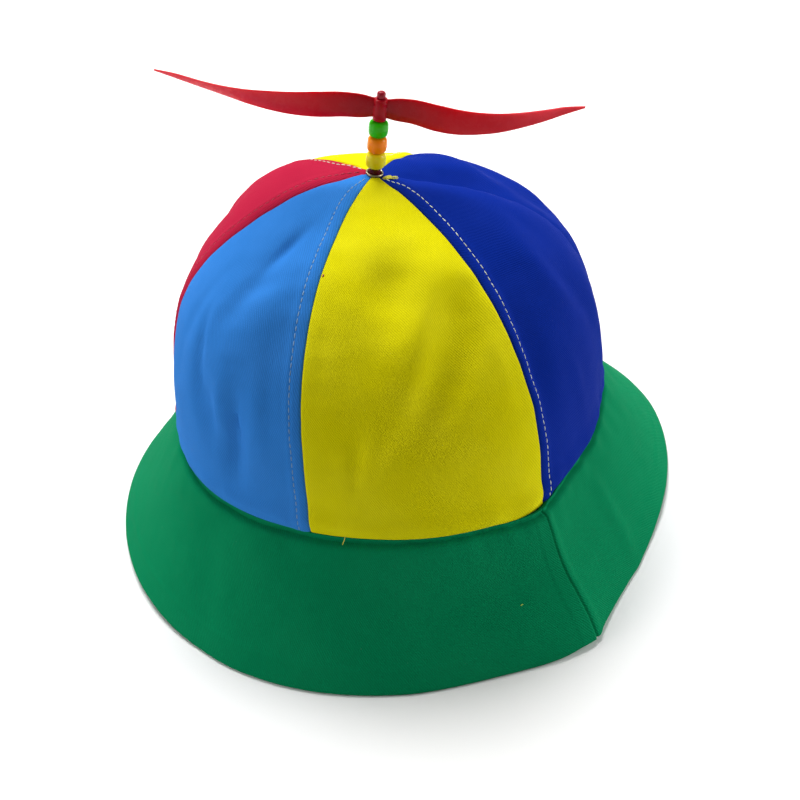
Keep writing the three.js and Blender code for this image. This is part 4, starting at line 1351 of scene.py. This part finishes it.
def make_propeller():
    # One collar rings the hub below the blades and one above
    hub_outline = [
        *arc(hub_radius - hub_round, hub_bottom + hub_round, hub_round, -90, 0, 5),
        *hub_collar_outline(hub_bottom + 1.3),
        *hub_collar_outline(hub_top - 1.3),
        *arc(hub_radius - hub_round, hub_top - hub_round, hub_round, 0, 90, 5),
    ]
    bore_outline = [(hub_bore_radius, hub_bottom - bore_overrun), (hub_bore_radius, hub_top + bore_overrun)]
    right = (1, blade_reach_right, blade_tip_rise_right)
    left = (-1, blade_reach_left, blade_tip_rise_left)
    body = scratch_object("propeller_body", lambda shape: hub_part(shape, hub_outline))
    tools = [
        ("UNION", scratch_object("blade_right", lambda shape: blade(shape, *right))),
        ("UNION", scratch_object("blade_left", lambda shape: blade(shape, *left))),
        ("DIFFERENCE", scratch_object("hub_bore", lambda shape: hub_part(shape, bore_outline))),
    ]
    for operation, tool in tools:
        modifier = body.modifiers.new(tool.name, "BOOLEAN")
        modifier.operation = operation
        modifier.solver = "EXACT"
        modifier.object = tool
    bpy.context.view_layer.update()
    evaluated = body.evaluated_get(bpy.context.evaluated_depsgraph_get())
    mesh = bpy.data.meshes.new_from_object(evaluated)
    for scratch in [body] + [tool for _, tool in tools]:
        bpy.data.objects.remove(scratch)
    turn = Matrix.Rotation(math.radians(propeller_turn), 4, "Z")
    mesh.transform(Matrix.Scale(MM, 4) @ stand_on_pin @ turn)
    return mesh


propeller_plastic = moulded_plastic(
    "propeller_plastic", (0.36, 0.003, 0.01), (0.28, 0.002, 0.005),
    roughness=0.2, coat=0.1, flow_scale=40.0, clouding=0.5, depth=2.5,
    # Painted shade darkens the hub, and painted reflection makes the outer blades pinker
    painted_light_by_distance=[((0.52, 0.004, 0.012), 5, 26), ((0.62, 0.05, 0.07), 24, 60)],
)
propeller = finished("red_propeller", make_propeller(), propeller_plastic)
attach(propeller, "propeller")
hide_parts("propeller")

# Studio. A pale sheet under plain soft light: one broad lamp above and a little behind the hat, so that
# the crown's top is bright and its front lies in soft shade, a dimmer window on either side, and the
# camera at the photograph's angle.

floor_half = 4.0
floor_colour = (0.86, 0.86, 0.86, 1)
air_light = 0.15
# Each lamp has its place, what it faces, its size in metres and its power in watts
LAMPS = [
    ("top_lamp", (-0.1, 0.65, 1.15), (0, 0, 0.08), (0.9, 0.6), 25),
    ("window_right", (1.15, -0.15, 0.5), (0, 0, 0.06), (0.7, 0.7), 10),
    ("window_left", (-1.15, -0.1, 0.55), (0, 0, 0.06), (0.7, 0.7), 6),
]
camera_place = Vector(hat_middle + (-72.95, -429.04, 385.7)) * MM
camera_aim = Vector(hat_middle + (4.23, 6.99, 42.68)) * MM
camera_roll = -1.06
camera_lens = 58.97


def pale_floor():
    mesh = bpy.data.meshes.new("floor")
    corners = [(-1, -1), (1, -1), (1, 1), (-1, 1)]
    mesh.from_pydata([(x * floor_half, y * floor_half, 0) for x, y in corners], [], [(0, 1, 2, 3)])
    material, tree, shader = new_material("pale_paper")
    shader.inputs["Base Color"].default_value = floor_colour
    place = place_node(tree, "ShaderNodeTexCoord").outputs["Object"]
    tree.links.new(spread(tree, noise(tree, place, 30.0), 0.3, 0.7, 0.7, 0.8), shader.inputs["Roughness"])
    mesh.materials.append(material)
    floor = bpy.data.objects.new("floor", mesh)
    scene.collection.objects.link(floor)


def soft_lamp(name, place, aim, size, power):
    lamp = bpy.data.lights.new(name, "AREA")
    lamp.shape = "RECTANGLE"
    lamp.size, lamp.size_y = size
    lamp.energy = power
    stand = bpy.data.objects.new(name, lamp)
    stand.location = place
    stand.rotation_euler = (Vector(aim) - Vector(place)).to_track_quat("-Z", "Y").to_euler()
    scene.collection.objects.link(stand)


pale_floor()
for lamp_row in LAMPS:
    soft_lamp(*lamp_row)

world = bpy.data.worlds.new("studio_air")
world.use_nodes = True
air = world.node_tree.nodes["Background"]
air.inputs["Color"].default_value = (1, 1, 1, 1)
air.inputs["Strength"].default_value = air_light
scene.world = world
scene.view_settings.view_transform = "Standard"

camera = bpy.data.objects.new("camera", bpy.data.cameras.new("camera"))
camera.data.lens = camera_lens
camera.data.sensor_width = 36
camera.location = camera_place
look = (camera_aim - camera_place).to_track_quat("-Z", "Y").to_matrix().to_4x4()
camera.rotation_euler = (look @ Matrix.Rotation(math.radians(camera_roll), 4, "Z")).to_euler()
scene.collection.objects.link(camera)
scene.camera = camera
